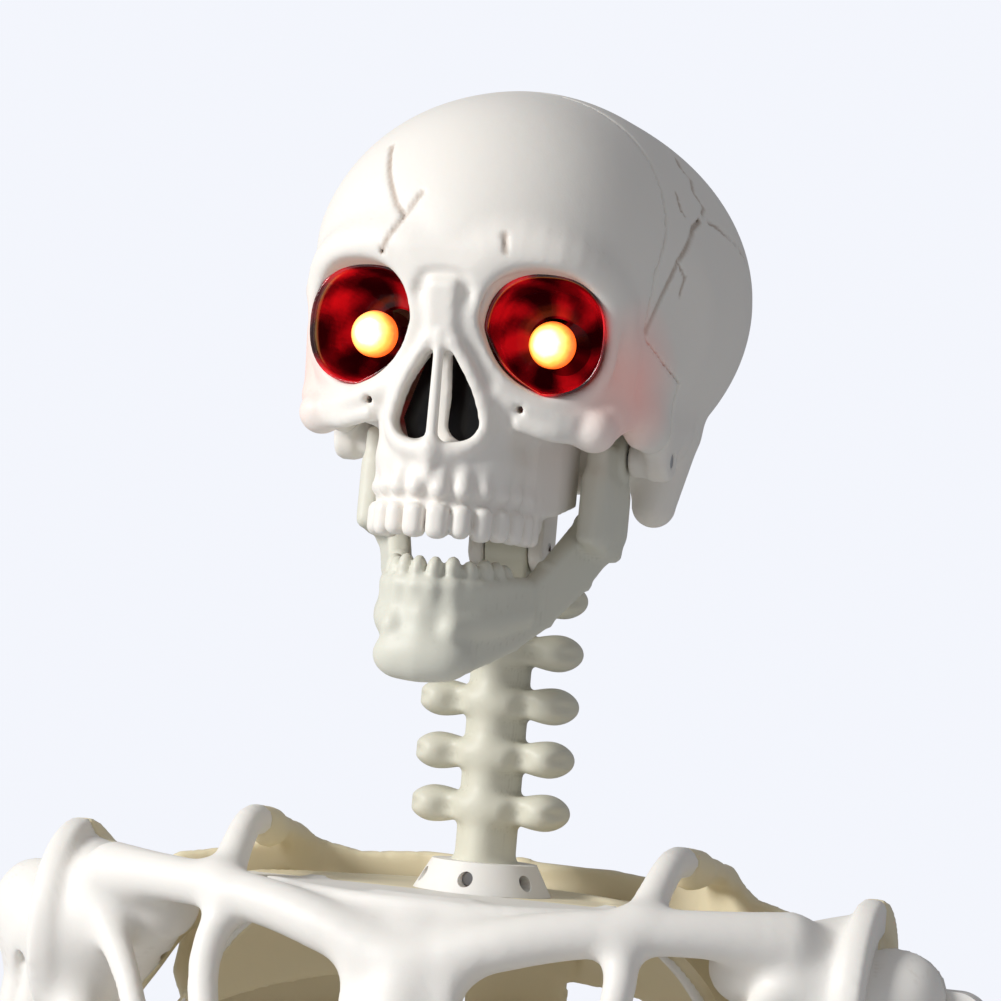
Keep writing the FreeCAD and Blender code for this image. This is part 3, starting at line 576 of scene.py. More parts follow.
class Recipe:
    """Node tree of one material.

    Args:
        name: Material name.
    """

    def __init__(self, name: str) -> None:
        """Makes the material with its shader."""
        self.material = bpy.data.materials.new(name)
        self.material.use_nodes = True
        self.nodes = self.material.node_tree.nodes
        self.links = self.material.node_tree.links
        self.shader = self.nodes["Principled BSDF"]

    def feed(self, socket: bpy.types.NodeSocket, value: object) -> None:
        """Sets a socket to a value, or links it."""
        if isinstance(value, Wire):
            self.links.new(value.socket, socket)
        elif isinstance(value, tuple) and len(value) == 3 and socket.type == "RGBA":
            socket.default_value = (*value, 1)
        else:
            socket.default_value = value

    def node(self, kind: str, settings: dict, inputs: dict, output: int | str = 0) -> Wire:
        """Adds a node.

        Args:
            kind: Node type.
            settings: Node settings, and "stops" for a ramp.
            inputs: Values or links of its sockets.
            output: Which output to return.

        Returns:
            The chosen output.
        """
        node = self.nodes.new(kind)
        for name, value in settings.items():
            if name == "stops":
                while len(node.color_ramp.elements) < len(value):
                    node.color_ramp.elements.new(0.5)
                for element, (place, colour) in zip(node.color_ramp.elements, value):
                    element.position, element.color = place, (*colour, 1)
            else:
                setattr(node, name, value)
        for name, value in inputs.items():
            self.feed(node.inputs[name], value)
        return Wire(self, node.outputs[output])

    def noise(self, scale: float, detail: float = 3) -> Wire:
        """Soft noise in the piece's own coordinates, from 0 to 1."""
        place = self.node("ShaderNodeTexCoord", {}, {}, "Object")
        return self.node("ShaderNodeTexNoise", {}, {"Vector": place, "Scale": scale, "Detail": detail,
                                                    "Roughness": 0.55})

    def level(self, name: str) -> Wire:
        """A number stored on the surface."""
        return self.node("ShaderNodeAttribute", {"attribute_name": name}, {}, "Fac")

    def ramp(self, value: Wire, stops: list[tuple[float, Point]]) -> Wire:
        """Colours along a value."""
        return self.node("ShaderNodeValToRGB", {"stops": stops}, {"Fac": value})

    def mix(self, share: object, first: object, second: object) -> Wire:
        """Mixes two colours."""
        return self.node("ShaderNodeMix", {"data_type": "RGBA"}, {0: share, 6: first, 7: second}, 2)

    def bump(self, height: Wire, depth: float, strength: float, below: Wire | None = None) -> Wire:
        """Adds small relief.

        Args:
            height: Its height, from 0 to 1.
            depth: Its depth, in metres.
            strength: How much it turns the surface.
            below: Coarser or finer relief that it lies on.

        Returns:
            The surface's direction.
        """
        inputs = {"Height": height, "Distance": depth, "Strength": strength}
        if below:
            inputs["Normal"] = below
        return self.node("ShaderNodeBump", {}, inputs)

    def fix(self, **constants: object) -> None:
        """Sets constants on the shader's sockets, named with _ for a space."""
        for name, value in constants.items():
            self.shader.inputs[name.replace("_", " ")].default_value = value

    def finish(self, **sockets: object) -> bpy.types.Material:
        """Feeds the shader's sockets, named with _ for a space."""
        for name, value in sockets.items():
            self.feed(self.shader.inputs[name.replace("_", " ")], value)
        return self.material


# ---- finishes -----------------------------------------------------------------------------------------------------
@dataclass(frozen=True)
class MouldedBone:
    """Satin moulded plastic with warm painted shade in its hollows and engraved lines, and a fine orange-peel grain.

    Args:
        name: Material name.
        body: Colour.
        hollow: Colour of the painted shade deep in its hollows and engraved lines.
    """

    name: str
    body: Point
    hollow: Point

    # Share of the painted shade colour at the deepest hollows.
    PAINTED_SHADE_SHARE = 0.75
    STAIN = 0.12
    STAIN_TINT = (0.93, 0.90, 0.82)
    ROUGH = 0.46

    def sockets(self, r: Recipe) -> dict[str, object]:
        """Works out what varies over the surface.

        Args:
            r: The material's recipe.

        Returns:
            Shader socket, with _ for a space, to its value.
        """
        # deep is the painted shade level; the hollow colour is mixed in by it as painted shade.
        deep = r.level("crease")
        cloud = r.noise(18, 4)
        tint = r.mix(cloud * self.STAIN, self.body, tuple(c * k for c, k in zip(self.body, self.STAIN_TINT)))
        grain, dimple = r.noise(1400, 2), r.noise(160, 3)
        return {"Base_Color": r.mix(deep * self.PAINTED_SHADE_SHARE, tint, self.hollow),
                "Roughness": self.ROUGH + cloud * 0.08 + deep * 0.12,
                "Normal": r.bump(dimple, 0.0004, 0.25, r.bump(grain, 0.0001, 0.25))}

    def make(self) -> bpy.types.Material:
        """Builds the material."""
        r = Recipe(self.name)
        r.fix(Subsurface_Weight=0.12, Subsurface_Radius=(0.006, 0.004, 0.003), Subsurface_Scale=1.0,
              Specular_IOR_Level=0.42)
        return r.finish(**self.sockets(r))


@dataclass(frozen=True)
class GlowingBone(MouldedBone):
    """Moulded bone with a painted red glow and pink tint beside the sockets, standing in for the eyes' light shining
    through the plastic.
    """

    # Colour, pink base tint and strength of the painted glow.
    GLOW = (0.85, 0.14, 0.09)
    GLOW_TINT = (0.82, 0.46, 0.40)
    GLOW_POWER = 0.13

    def sockets(self, r: Recipe) -> dict[str, object]:
        """Adds the painted glow that is stored on the surface.

        Args:
            r: The material's recipe.

        Returns:
            Shader socket, with _ for a space, to its value.
        """
        plain = super().sockets(r)
        # Painted light: emission and a pink tint where the eyes' light would shine through.
        painted_glow_share = r.level("glow")
        r.fix(Emission_Strength=self.GLOW_POWER)
        return plain | {"Base_Color": r.mix(painted_glow_share * 0.6, plain["Base_Color"], self.GLOW_TINT),
                        "Emission_Color": r.mix(painted_glow_share, (0.0, 0.0, 0.0), self.GLOW)}


@dataclass(frozen=True)
class RedReflector:
    """Glossy red lining of an eye socket, with painted streaks of LED light and shade from dark maroon to bright red,
    glowing by emission.
    """

    name: str = "red_reflector"

    def make(self) -> bpy.types.Material:
        """Builds the material."""
        r = Recipe(self.name)
        # Painted light and shade: stored streaks and noise set a colour that is also emitted.
        streak = r.level("streak")
        cloud = r.noise(70, 4)
        tone = r.ramp(streak * 0.6 + cloud * 0.55, [(0.42, (0.022, 0.0, 0.001)), (0.58, (0.15, 0.001, 0.004)),
                                                    (0.80, (0.72, 0.006, 0.012))])
        r.fix(Emission_Strength=0.35, Coat_Weight=0.6, Coat_Roughness=0.08)
        return r.finish(Base_Color=tone, Roughness=0.16 + cloud * 0.1, Emission_Color=tone,
                        Normal=r.bump(r.noise(120, 2), 0.0008, 0.5))


@dataclass(frozen=True)
class LitLens:
    """Lens lit from behind: almost white in the middle, amber at its rim."""

    name: str = "lit_lens"

    def make(self) -> bpy.types.Material:
        """Builds the material."""
        r = Recipe(self.name)
        near = r.level("core") + (r.noise(260, 3) - 0.5) * 0.35
        light = r.ramp(near, [(0.05, (1.0, 0.12, 0.01)), (0.32, (1.0, 0.42, 0.04)), (0.62, (1.0, 0.78, 0.22)),
                              (0.85, (1.0, 0.98, 0.72))])
        r.fix(Emission_Strength=1.5)
        return r.finish(Base_Color=r.mix(0.6, light, (0.9, 0.75, 0.4)), Roughness=0.2 + r.noise(300) * 0.1,
                        Emission_Color=light)


@dataclass(frozen=True)
class PlainFinish:
    """Finish of the small fittings: metal, board, jacket or dark plastic.

    Args:
        name: Material name.
        body: Colour.
        metal: 1 for bare metal, 0 for the rest.
        rough: Roughness.
        grain: Noise scale of its texture.
        depth: Depth of its texture, in metres.
    """

    name: str
    body: Point
    metal: float = 0.0
    rough: float = 0.35
    grain: float = 500.0
    depth: float = 0.00006

    def make(self) -> bpy.types.Material:
        """Builds the material."""
        r = Recipe(self.name)
        cloud = r.noise(self.grain * 0.15, 3)
        tone = r.mix(cloud * 0.5, self.body, tuple(c * 0.72 for c in self.body))
        r.fix(Metallic=self.metal)
        return r.finish(Base_Color=tone, Roughness=self.rough + cloud * 0.15,
                        Normal=r.bump(r.noise(self.grain, 2), self.depth, 0.4))


class Finish(Enum):
    """Finishes of the figure, each with the record's material slot it stands for."""

    SKULL = ("bone", GlowingBone("skull_bone", (0.84, 0.80, 0.74), (0.36, 0.26, 0.19)))
    BONE = ("bone", MouldedBone("white_bone", (0.84, 0.81, 0.76), (0.42, 0.34, 0.25)))
    # The jaw and neck bodies are darker copies of the bone colour: painted shade from the skull above.
    JAW = ("jaw_bone", MouldedBone("shaded_jaw_bone", (0.66, 0.65, 0.56), (0.25, 0.23, 0.15)))
    NECK = ("cream_bone", MouldedBone("shaded_neck_bone", (0.66, 0.64, 0.53), (0.24, 0.21, 0.12)))
    CREAM = ("cream_bone", MouldedBone("moulded_cream", (0.78, 0.69, 0.48), (0.34, 0.25, 0.10)))
    RED = ("eye_red", RedReflector())
    LENS = ("eye_lens", LitLens())
    BLACK = ("black", PlainFinish("black_plastic", (0.006, 0.006, 0.007), rough=0.12, grain=200))
    STEEL = ("steel", PlainFinish("plain_steel", (0.42, 0.42, 0.44), metal=1.0, rough=0.3, grain=900))
    BOARD = ("board", PlainFinish("green_board", (0.02, 0.14, 0.05), rough=0.4))
    CELL = ("cell", PlainFinish("cell_jacket", (0.05, 0.05, 0.06), rough=0.3))
    WIRE = ("wire", PlainFinish("red_wire", (0.45, 0.02, 0.02), rough=0.4))

    def material(self) -> bpy.types.Material:
        """The finish's material, made once."""
        made = bpy.data.materials.get(self.value[1].name)
        return made or self.value[1].make()


def dress(piece: bpy.types.Object, finish: Finish, body: str, *nodes: str) -> bpy.types.Object:
    """Gives a new piece its finish, its body and the frame nodes that it stands for.

    Args:
        piece: The new piece.
        finish: Its finish.
        body: Body that it moves with.
        nodes: Frame nodes that it replaces.

    Returns:
        The same piece.
    """
    piece.data.materials.clear()
    piece.data.materials.append(finish.material())
    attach(piece, body)
    if nodes:
        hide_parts(*nodes)
    log.info("%s: %d faces on %s", piece.name, len(piece.data.polygons), body)
    return piece


def seat(origin: Vector) -> Matrix:
    """Upright place of a clay's own frame."""
    return Matrix.Translation(origin)


# ---- head ---------------------------------------------------------------------------------------------------------
@dataclass
class Head:
    """Skull shells, jaw, eyes and nose, in millimetres about the middle of the braincase.

    Args:
        stance: Joint places.
    """

    stance: Stance
    middle: Vector = field(init=False)

    JAW_PINS = (0, -8, -55)
    EYE = (31.75, -74, -19)
    TOE_OUT = 8.0
    ROUND = 2.0
    CUP_SQUARE = 2.35
    LENS_RADIUS = 8.1
    # Middle and reach of the painted glow beside the sockets.
    GLOW_MIDDLE = (57, -54, -33)
    GLOW_REACH = (26, 30, 28)

    def __post_init__(self) -> None:
        """Finds the middle of the braincase from the jaw's pins."""
        self.middle = self.stance.place("jaw_open") - Vector(self.JAW_PINS) * MM

    def orbit(self, clay: Clay, side: int, toe: float, centre: Point) -> list[np.ndarray]:
        """Measures the whole grid from an eye.

        Args:
            clay: Clay of the skull.
            side: 1 for the left eye, -1 for the right.
            toe: How far the eye looks out to its side, in degrees.
            centre: Middle of the left eye.

        Returns:
            Distances across, up and along the eye's axis.
        """
        x, y, z = clay.axes()
        x = x * side - centre[0]
        y, z = y - centre[1], z - centre[2]
        s, c = math.sin(math.radians(toe)), math.cos(math.radians(toe))
        return [x * c + y * s, z + 0 * y, x * s - y * c]

    def rim_shape(self, across: np.ndarray, up: np.ndarray, square: float) -> np.ndarray:
        """Reach from an eye's middle, larger where the rim's lower inner corner is cut off."""
        corner = np.maximum((-across - up) * 0.7071 - 14.0, 0)
        return (np.abs(across) ** square + np.abs(up) ** square) ** (1 / square) + corner * 0.75

    def sockets(self, clay: Clay) -> None:
        """Raised rims round the eyes, then the tapering sockets."""
        for side in (1, -1):
            across, up, along = self.orbit(clay, side, 19, (self.EYE[0], -75.5, self.EYE[2]))
            ring = self.rim_shape(across, up, 2.5) - 22.6
            sag = along - 1.0 + 0.004 * np.minimum(up, 0) ** 2
            clay.work(clay.whole, np.sqrt(ring ** 2 + sag ** 2) - 3.3 + 0.03 * np.maximum(across, 0), 5, False)
        for side in (1, -1):
            across, up, along = self.orbit(clay, side, self.TOE_OUT, self.EYE)
            round_off = self.rim_shape(across, up, 2.4) - 20.6 - 0.12 * (along - 6)
            clay.work(clay.whole, np.maximum(round_off, np.maximum(-24 - along, along - 60)), 2.5, True)

    def braincase(self, clay: Clay) -> None:
        """Egg of the braincase with its forehead, temples and base."""
        clay.ball((0, 0, 0), (73.6, 92, 74))
        clay.ball((0, -44, 6), (54, 46, 50), blend=20)
        clay.ball((0, 28, 3), (76.5, 58, 66), blend=10)
        clay.ball((79, -50, -14), (15, 34, 32), blend=12, cut=True, both=True)
        clay.slab((0, -92, -95), (100, 100, 50), blend=4, cut=True)
        clay.slab((0, 108, -118), (100, 100, 50), blend=6, cut=True)
        clay.bar((50, 24, -45), (49, 22, -70), 13, 8, blend=8, both=True)
        clay.ball((0, 66, -46), (22, 12, 8), blend=14)

    def face(self, clay: Clay) -> None:
        """Cheeks, upper jaw, brow and nose bridge."""
        clay.slab((0, -60, -26), (43, 18, 26), 13, blend=12)
        clay.slab((0, -66, -50), (24, 20, 24), 11, blend=9)
        clay.drum((0, -53, -74), (27.5, 38.5), 13, edge=4, blend=7)
        clay.slab((55, -36, -30), (4, 24, 13), 4, blend=8, both=True)
        clay.slab((56.5, -12, -44), (4, 26, 9), 4, blend=8, both=True)
        clay.ribbon([(26, -60, -66), (29.5, -42, -65), (30, -22, -62)], [14, 14, 13], 2.4, edge=1.5, blend=4, both=True)

    def cheeks(self, clay: Clay) -> None:
        """Brow ridges, cheekbones and their knobs."""
        clay.chain([(7, -86, 2), (20, -87, 8), (36, -83, 7), (48, -74, 2), (53, -66, -7)], [5, 6, 6.5, 5.5, 4.5],
                   blend=9, both=True)
        clay.chain([(53, -62, -8), (54, -58, -26), (52, -62, -42)], [4, 4, 5.5], blend=6, both=True)
        clay.chain([(51, -62, -44), (42, -73, -47), (30, -80, -44), (20, -84, -40)], [5, 4, 3.4, 2.6], blend=5,
                   both=True)
        clay.ball((49.5, -66.5, -49.5), 7.6, blend=1.6, both=True)
        clay.chain([(48, -66, -50), (38, -76, -52), (27, -81, -50)], [4, 3, 2.2], blend=4, both=True)
        clay.chain([(51, -58, -46), (56, -40, -41), (58, -20, -46), (58, 8, -44)], [6, 5, 5, 5.5], blend=6, both=True)
        clay.drum((58, -8, -54), (8.5, 8.5), 3.8, axis=0, edge=2, blend=4, both=True)
        clay.bar((27, -90, -45.5), (27, -72, -44), 1.3, blend=1.5, cut=True, both=True)
        clay.slab((0, -90, -14), (5.6, 5.5, 11.5), 2.6, blend=2.5, turn=(10, 0, 0))
        clay.chain([(8.8, -94, -8), (8.4, -96, -15), (8.8, -96, -23)], 1.3, blend=3.5, cut=True, both=True)
        clay.chain([(-8, -95, -5), (-5, -96, -1.5), (5, -96, -1.5), (8, -95, -5)], 0.9, blend=3.5, cut=True)

    def nose(self, clay: Clay) -> None:
        """Rim of the nose opening and its two leaf-shaped halves."""
        clay.chain([(5, -92, -25), (10.5, -90, -34), (15.5, -87, -46), (15.5, -87, -55), (9.5, -90, -60.5),
                    (0, -93, -61)], [2.4, 2.8, 3.2, 3.4, 3.0, 2.8], blend=3.5, both=True)
        clay.bar((0, -93, -22), (0, -93, -60), 1.8, 2.2, blend=2)
        clay.chain([(0, -94, -60), (0, -93, -70)], [2.4, 1.6], blend=3)
        for depth in range(-104, -60, 3):
            clay.chain([(3.9, depth, -29), (7.6, depth, -41), (8.8, depth, -51)], [1.5, 4.4, 6.3], blend=0.8, cut=True,
                       both=True)

    def arch(self, across: float, reach: float, back: float, widths: list[float]) -> list[tuple[float, ...]]:
        """Places one side's teeth along an oval arch.

        Args:
            across: Half the arch's width.
            reach: How far it reaches forwards.
            back: Where its middle lies along Y.
            widths: Width of each tooth, from the middle outwards.

        Returns:
            x, y, turn in degrees and width of each tooth.
        """
        places, t = [], 0.0
        for width in widths:
            step = width / math.hypot(across * math.cos(t), reach * math.sin(t))
            mid = t + step / 2
            x, y = across * math.sin(mid), back - reach * math.cos(mid)
            turn = math.degrees(math.atan2(reach * math.sin(mid), across * math.cos(mid)))
            places.append((x, y, turn, width))
            t += step
        return places

    def upper_teeth(self, clay: Clay) -> None:
        """Row of upper teeth with the ridges of their roots above."""
        places = self.arch(25.5, 33, -58.5, [8.2, 7.4, 7.6, 7.2, 7.4, 7.6, 7.2])
        for number, (x, y, turn, width) in enumerate(places):
            low = -91 + 0.5 * (number in (1, 3)) + 0.3 * (number > 3)
            clay.slab((x, y, (low - 79) / 2), (width / 2 - 0.3, 3.9, (-79 - low) / 2), 3.0, blend=0.7, both=True,
                      turn=(0, 0, turn))
            top = -63 if number < 4 else -68
            clay.bar((x, y - 0.6, -74), (x * 0.95, y + 1.4, top), 3.3, 1.6, blend=2.2, both=True)

    def shells(self) -> list[bpy.types.Object]:
        """Front and rear skull shells, split where the moulded lip runs."""
        clay = Clay((-84, -112, -104), (84, 100, 84), 1.15)
        self.braincase(clay)
        self.face(clay)
        clay.hollow(3.6)
        self.cheeks(clay)
        clay.drum((0, -50, -92), (19.5, 31), 18, edge=4, blend=3, cut=True)
        self.upper_teeth(clay)
        self.sockets(clay)
        self.nose(clay)
        clay.drum((0, 14, -80), (20, 20), 24, blend=2, cut=True)
        clay.slab((0, -9, -80), (20, 21, 20), cut=True)
        clay.slab((0, 12, -65), (30, 9, 3), 1, blend=2)
        clay.slab((11.2, 12, -76), (2.8, 9, 13), 0.8, both=True)
        clay.drum((11.2, 12, -89), (9, 9), 2.8, axis=0, edge=0.8, both=True)
        clay.slab((40.2, -15, -68), (6.8, 23, 22), 2, cut=True, both=True)
        clay.drum((54.8, -8, -55), (6.6, 6.6), 7.4, axis=0, edge=1, blend=2, both=True)
        clay.drum((50, -8, -55), (2.5, 2.5), 16, axis=0, cut=True, both=True)
        clay.slab((0, 112, 0), (60, 30, 60), cut=True)
        clay.drum((0, 80.4, 0), (32.5, 32.5), 1.7, axis=1, edge=0.8, blend=1.5)
        clay.slab((0, 74, 4), (24.4, 20, 16.4), 0.5, cut=True)
        clay.slab((0, 80, -21), (6, 10, 3), 0.5, cut=True)
        self.lines(clay)
        solid = clay.field.copy()
        _, y, z = clay.axes()
        lip = np.interp(z, [-110, -28, -16, 8, 110], [-19, -19, -50, -50, 0]).astype(np.float32)
        pieces = []
        for name, sign in (("skull_front", 1), ("skull_back", -1)):
            clay.field = np.maximum(solid, sign * (y - lip) * 0.9 + 0.2)
            pieces.append(clay.skin(name + "_shell", seat(self.middle)))
        return pieces

    def lines(self, clay: Clay) -> None:
        """Moulded cracks and sutures of the forehead and the sides."""
        for line, width in (([(-31, 44), (-27, 33), (-21, 22), (-17, 18)], 1.5),
                            ([(-12, 26), (-17, 17), (-21, 10), (-23, 5), (-24.5, 0)], 1.6),
                            ([(20, 13), (21, 7)], 1.6), ([(-17, 18), (-17, 16)], 1.0)):
            clay.engrave([(x, -111, z) for x, z in line], (0, 1, 0), width)
        for side in (1, -1):
            for line, width in (([(-13, 30), (-22, 26), (-26, 23), (-36, 13), (-44, -2), (-49, -13)], 1.6),
                                ([(-13, 30), (-2, 36), (-6, 41), (2, 46), (-1, 50), (6, 54)], 1.3),
                                ([(-13, 30), (4, 30), (26, 22), (40, 4), (46, -20)], 1.2),
                                ([(-22, 26), (-27, 32), (-25, 38)], 1.0), ([(-36, 13), (-30, 8), (-31, 2)], 1.0)):
                clay.engrave([(side * 83, y, z) for y, z in line], (-side, 0, 0), width)
            clay.engrave([(side * x, 80, z) for x, z in ((0, 58), (18, 50), (34, 36), (46, 16))], (0, -1, 0), 1.0)

    def jaw(self) -> bpy.types.Object:
        """Horseshoe jaw with its branches, chin and lower teeth."""
        clay = Clay((-62, -108, -146), (62, 20, -40), 1.0)
        clay.ribbon([(0, -84.5, -111), (9, -82.5, -111), (15, -76, -111), (19, -64, -110), (22, -48, -108)],
                    [8, 8, 8, 8, 7], 4.2, edge=3.5, blend=4, both=True)
        clay.ribbon([(0, -83, -127), (8, -82, -127), (13, -76, -126), (16.5, -65, -123), (20.5, -49, -117),
                     (27, -33, -106), (35, -17, -90), (40.5, -6, -78)],
                    [10, 10, 9.5, 9, 10, 12, 14, 13], 4.2, edge=3.5, blend=6, both=True)
        clay.ball((0, -85, -130), (12, 7, 8), blend=6)
        clay.ball((9, -83, -131), (8, 6, 6.5), blend=5, both=True)
        clay.chain([(11, -86, -121), (19, -70, -119), (25, -48, -114)], [2.6, 2.4, 2.0], blend=5, both=True)
        clay.slab((40.6, -15, -77), (3.8, 20, 13), 3, blend=5, both=True, turn=(-8, 0, 0))
        clay.slab((41, -14, -68), (3.8, 18, 17), 3, blend=4, both=True)
        clay.drum((41.5, -8, -55), (8, 8), 5, axis=0, edge=2, blend=3, both=True)
        clay.bar((41, -22, -84), (41, -26, -66), 3.6, 2.6, blend=4, both=True)
        clay.drum((48, -8, -55), (2.6, 2.6), 10, axis=0, cut=True, both=True)
        for number, (x, y, _, width) in enumerate(self.arch(18.5, 29, -56.5, [5.8, 6.0, 6.6, 6.8, 7.2, 7.4])):
            lift = 0.6 * math.sin(number * 2.3)
            clay.ball((x, y, -101.8 + lift), (width / 2 - 0.1, 4.0, 5.2), blend=0.8, both=True)
            clay.bar((x, y - 1.8, -107.5 + lift), (x * 1.01, y - 1.6, -112), 3.2, 1.4, blend=2.5, both=True)
        return clay.skin("jaw_bone", seat(self.middle))

    def eye_seat(self, side: int) -> Matrix:
        """Frame of an eye, in metres, with +Z looking out of the socket."""
        toe = math.radians(self.TOE_OUT)
        look = Vector((side * math.sin(toe), -math.cos(toe), 0))
        across = Vector((0, 0, 1)).cross(look)
        turn = Matrix((across, look.cross(across), look)).transposed().to_4x4()
        return Matrix.Translation(self.middle + Vector((side * self.EYE[0], *self.EYE[1:])) * MM) @ turn

    def lens_seat(self, side: int) -> Matrix:
        """Frame of a lens: it looks straight ahead from a little below its socket's middle."""
        turn = Matrix(((1, 0, 0), (0, 0, 1), (0, -1, 0))).transposed().to_4x4()
        return Matrix.Translation(self.middle + Vector((side * (self.EYE[0] + 0.4), -76, -21.3)) * MM) @ turn

    def cup(self, side: int) -> bpy.types.Object:
        """Thin red cup that lines a socket, with a hole for the lens."""
        rows = [(20.1, 5), (19.6, 0), (18.9, -6), (18.0, -12), (16.4, -17.5), (13, -20.6), (9.2, -21.4), (8.3, -21.6),
                (8.3, -23), (14, -22.6), (18.0, -19), (19.5, -12), (20.35, 0), (20.75, 5)]
        return self.turned("eye_lining", rows, side, self.CUP_SQUARE, "streak")

    def lens(self, side: int) -> bpy.types.Object:
        """Domed lens in the middle of a cup."""
        rows = [(0.01, 0.1), (2.6, -0.4), (4.7, -1.7), (6.3, -3.5), (7.5, -5.6), (8.1, -8), (8.0, -10.4), (0.01, -10.4)]
        return self.turned("eye_glow", rows, side, self.ROUND, "core")

    def stem(self, side: int) -> bpy.types.Object:
        """Short red post that carries a lens from the bottom of its cup."""
        rows = [(0.01, -10.5), (6.8, -10.5), (7.2, -15), (9.5, -24), (0.01, -24)]
        return self.turned("eye_stem", rows, side, self.ROUND, "glint")

    def turned(self, name: str, rows: list[tuple[float, float]], side: int, square: float, level: str
               ) -> bpy.types.Object:
        """Spins a closed section about an eye's axis.

        Args:
            name: Piece name, without its side.
            rows: (radius, height) of the section's points.
            side: 1 for the left eye, -1 for the right.
            square: How square it is seen from the front; 2 is round.
            level: Name of the level stored on its points.

        Returns:
            The new object.
        """
        shape = bmesh.new()
        ring = [shape.verts.new((r, 0, z)) for r, z in rows]
        loop = [shape.edges.new((a, b)) for a, b in zip(ring, ring[1:] + ring[:1])]
        bmesh.ops.spin(shape, geom=ring + loop, cent=(0, 0, 0), axis=(0, 0, 1), dvec=(0, 0, 0), angle=2 * math.pi,
                       steps=64, use_merge=True, use_normal_flip=False, use_duplicate=False)
        bmesh.ops.remove_doubles(shape, verts=shape.verts, dist=0.02)
        bmesh.ops.recalc_face_normals(shape, faces=shape.faces)
        place = self.eye_seat(side) if level == "streak" else self.lens_seat(side)
        levels = []
        for vert in shape.verts:
            x, y, z = vert.co
            radius = math.hypot(x, y)
            angle = math.atan2(y, x)
            if level == "core":
                levels.append(max(0.0, 1 - (radius / self.LENS_RADIUS) ** 2.2) if z > -10 else 0.0)
            else:
                # Streaks of painted LED light and shade, read by the red lining's material.
                levels.append(0.5 + 0.28 * math.sin(3 * angle + 0.6 + z * 0.12) + 0.22 * math.sin(7 * angle - z * 0.2))
            if radius > 0.1 and square != self.ROUND:
                stretch = radius / float(self.rim_shape(np.array(x * side), np.array(y), square))
                fade = min(1.0, max(0.0, (z + 21) / 14))
                x, y = x * (1 + (stretch - 1) * fade), y * (1 + (stretch - 1) * fade)
            vert.co = place @ (Vector((x, y, z)) * MM)
        name += "_left" if side > 0 else "_right"
        mesh = bpy.data.meshes.new(name)
        shape.to_mesh(mesh)
        shape.free()
        note(mesh, level, levels)
        point_outwards(mesh)
        mesh.shade_smooth()
        return show(name, mesh)

    def build(self) -> None:
        """Makes every piece of the head."""
        front, back = self.shells()
        for shell in (front, back):
            self.note_painted_glow(shell)
        dress(front, Finish.SKULL, "head", "skull_front")
        dress(back, Finish.SKULL, "head", "skull_back")
        dress(self.jaw(), Finish.JAW, "jaw", "jaw")
        for side, word in ((1, "left"), (-1, "right")):
            dress(self.cup(side), Finish.RED, "head", "eye_cup_" + word)
            dress(self.lens(side), Finish.LENS, "head", "eye_lens_" + word, "eye_leds")
            dress(self.stem(side), Finish.RED, "head")

    def note_painted_glow(self, shell: bpy.types.Object) -> None:
        """Stores where the painted glow of the eyes' light goes on the skull."""
        spots = np.empty(len(shell.data.vertices) * 3, dtype=np.float32)
        shell.data.vertices.foreach_get("co", spots)
        spots = (spots.reshape(-1, 3) - np.array(self.middle)) / MM
        spots[:, 0] = np.abs(spots[:, 0])
        near = np.linalg.norm((spots - self.GLOW_MIDDLE) / self.GLOW_REACH, axis=1)
        note(shell.data, "glow", np.clip(1.15 - near, 0, 1))


# ---- neck and spine -----------------------------------------------------------------------------------------------
def pin_place(stance: Stance, joint: str) -> Matrix:
    """Frame in the figure's middle plane at a joint's height and depth."""
    return seat(Vector((0, *stance.place(joint).yz)))


def build_neck(stance: Stance) -> None:
    """Stacked neck bones on a column, with the tongue for the nod pin above and the swivel post below."""
    clay = Clay((-36, -20, -148), (36, 34, 12), 0.85)
    clay.drum((0, 0, -64), (11, 11), 49.6, edge=2)
    clay.bar((0, -8, -16), (0, -8, -112), 4.5, blend=4)
    clay.drum((0, 0, -116.8), (13, 12), 3.4, edge=2, blend=3)
    for i in range(5):
        z = -18 - i * 19.2
        clay.slab((0, 0, z), (25, 9.5, 5), 4.5, blend=2.5)
        clay.ball((21, 0.5, z), (8.8, 11.4, 6.2), blend=4, both=True)
        clay.ball((0, -9, z), (12, 5, 5.6), blend=4)
        clay.bar((0, 9, z), (0, 24, z - 3), 5, 3.6, blend=4)
        clay.bar((24, -13, z), (31, -2, z), 1.2, 1.6, blend=2.5, cut=True, both=True)
        clay.ball((13, -13, z - 1), (3.2, 4, 3), blend=4, cut=True, both=True)
    clay.drum((0, 0, -128), (9, 9), 16, edge=1)
    clay.drum((0, 0, 0), (8.5, 8.5), 8, axis=0, edge=1)
    clay.slab((0, 0, -9), (8, 7, 9), 1)
    clay.drum((0, 0, 0), (2.6, 2.6), 12, axis=0, cut=True)
    clay.slab((11.4, 0, -2), (3.3, 12, 11.6), 0.5, cut=True, both=True)
    dress(clay.skin("neck_bones", pin_place(stance, "head_nod")), Finish.NECK, "neck", "neck_column")


def add_vertebra(clay: Clay, z: float, radius: float, height: float, wing: float, process: float) -> None:
    """Adds one bone of the spine, with its wings and a drooping rear process.

    Args:
        clay: Clay of the spine.
        z: Height of the bone.
        radius: Radius of its body.
        height: Height of its body.
        wing: How far its wings reach to the sides.
        process: How far its rear process reaches.
    """
    clay.drum((0, 0, z), (radius, radius), height / 2, edge=3, blend=2)
    clay.chain([(0, 5, z), (wing * 0.5, 7, z + 1), (wing, 8, z)], [5, 3.6, 4.2], blend=4, both=True)
    clay.chain([(0, radius * 0.6, z), (0, process * 0.7, z - 2), (0, process, z - 6)], [5, 3.4, 3.8], blend=4)


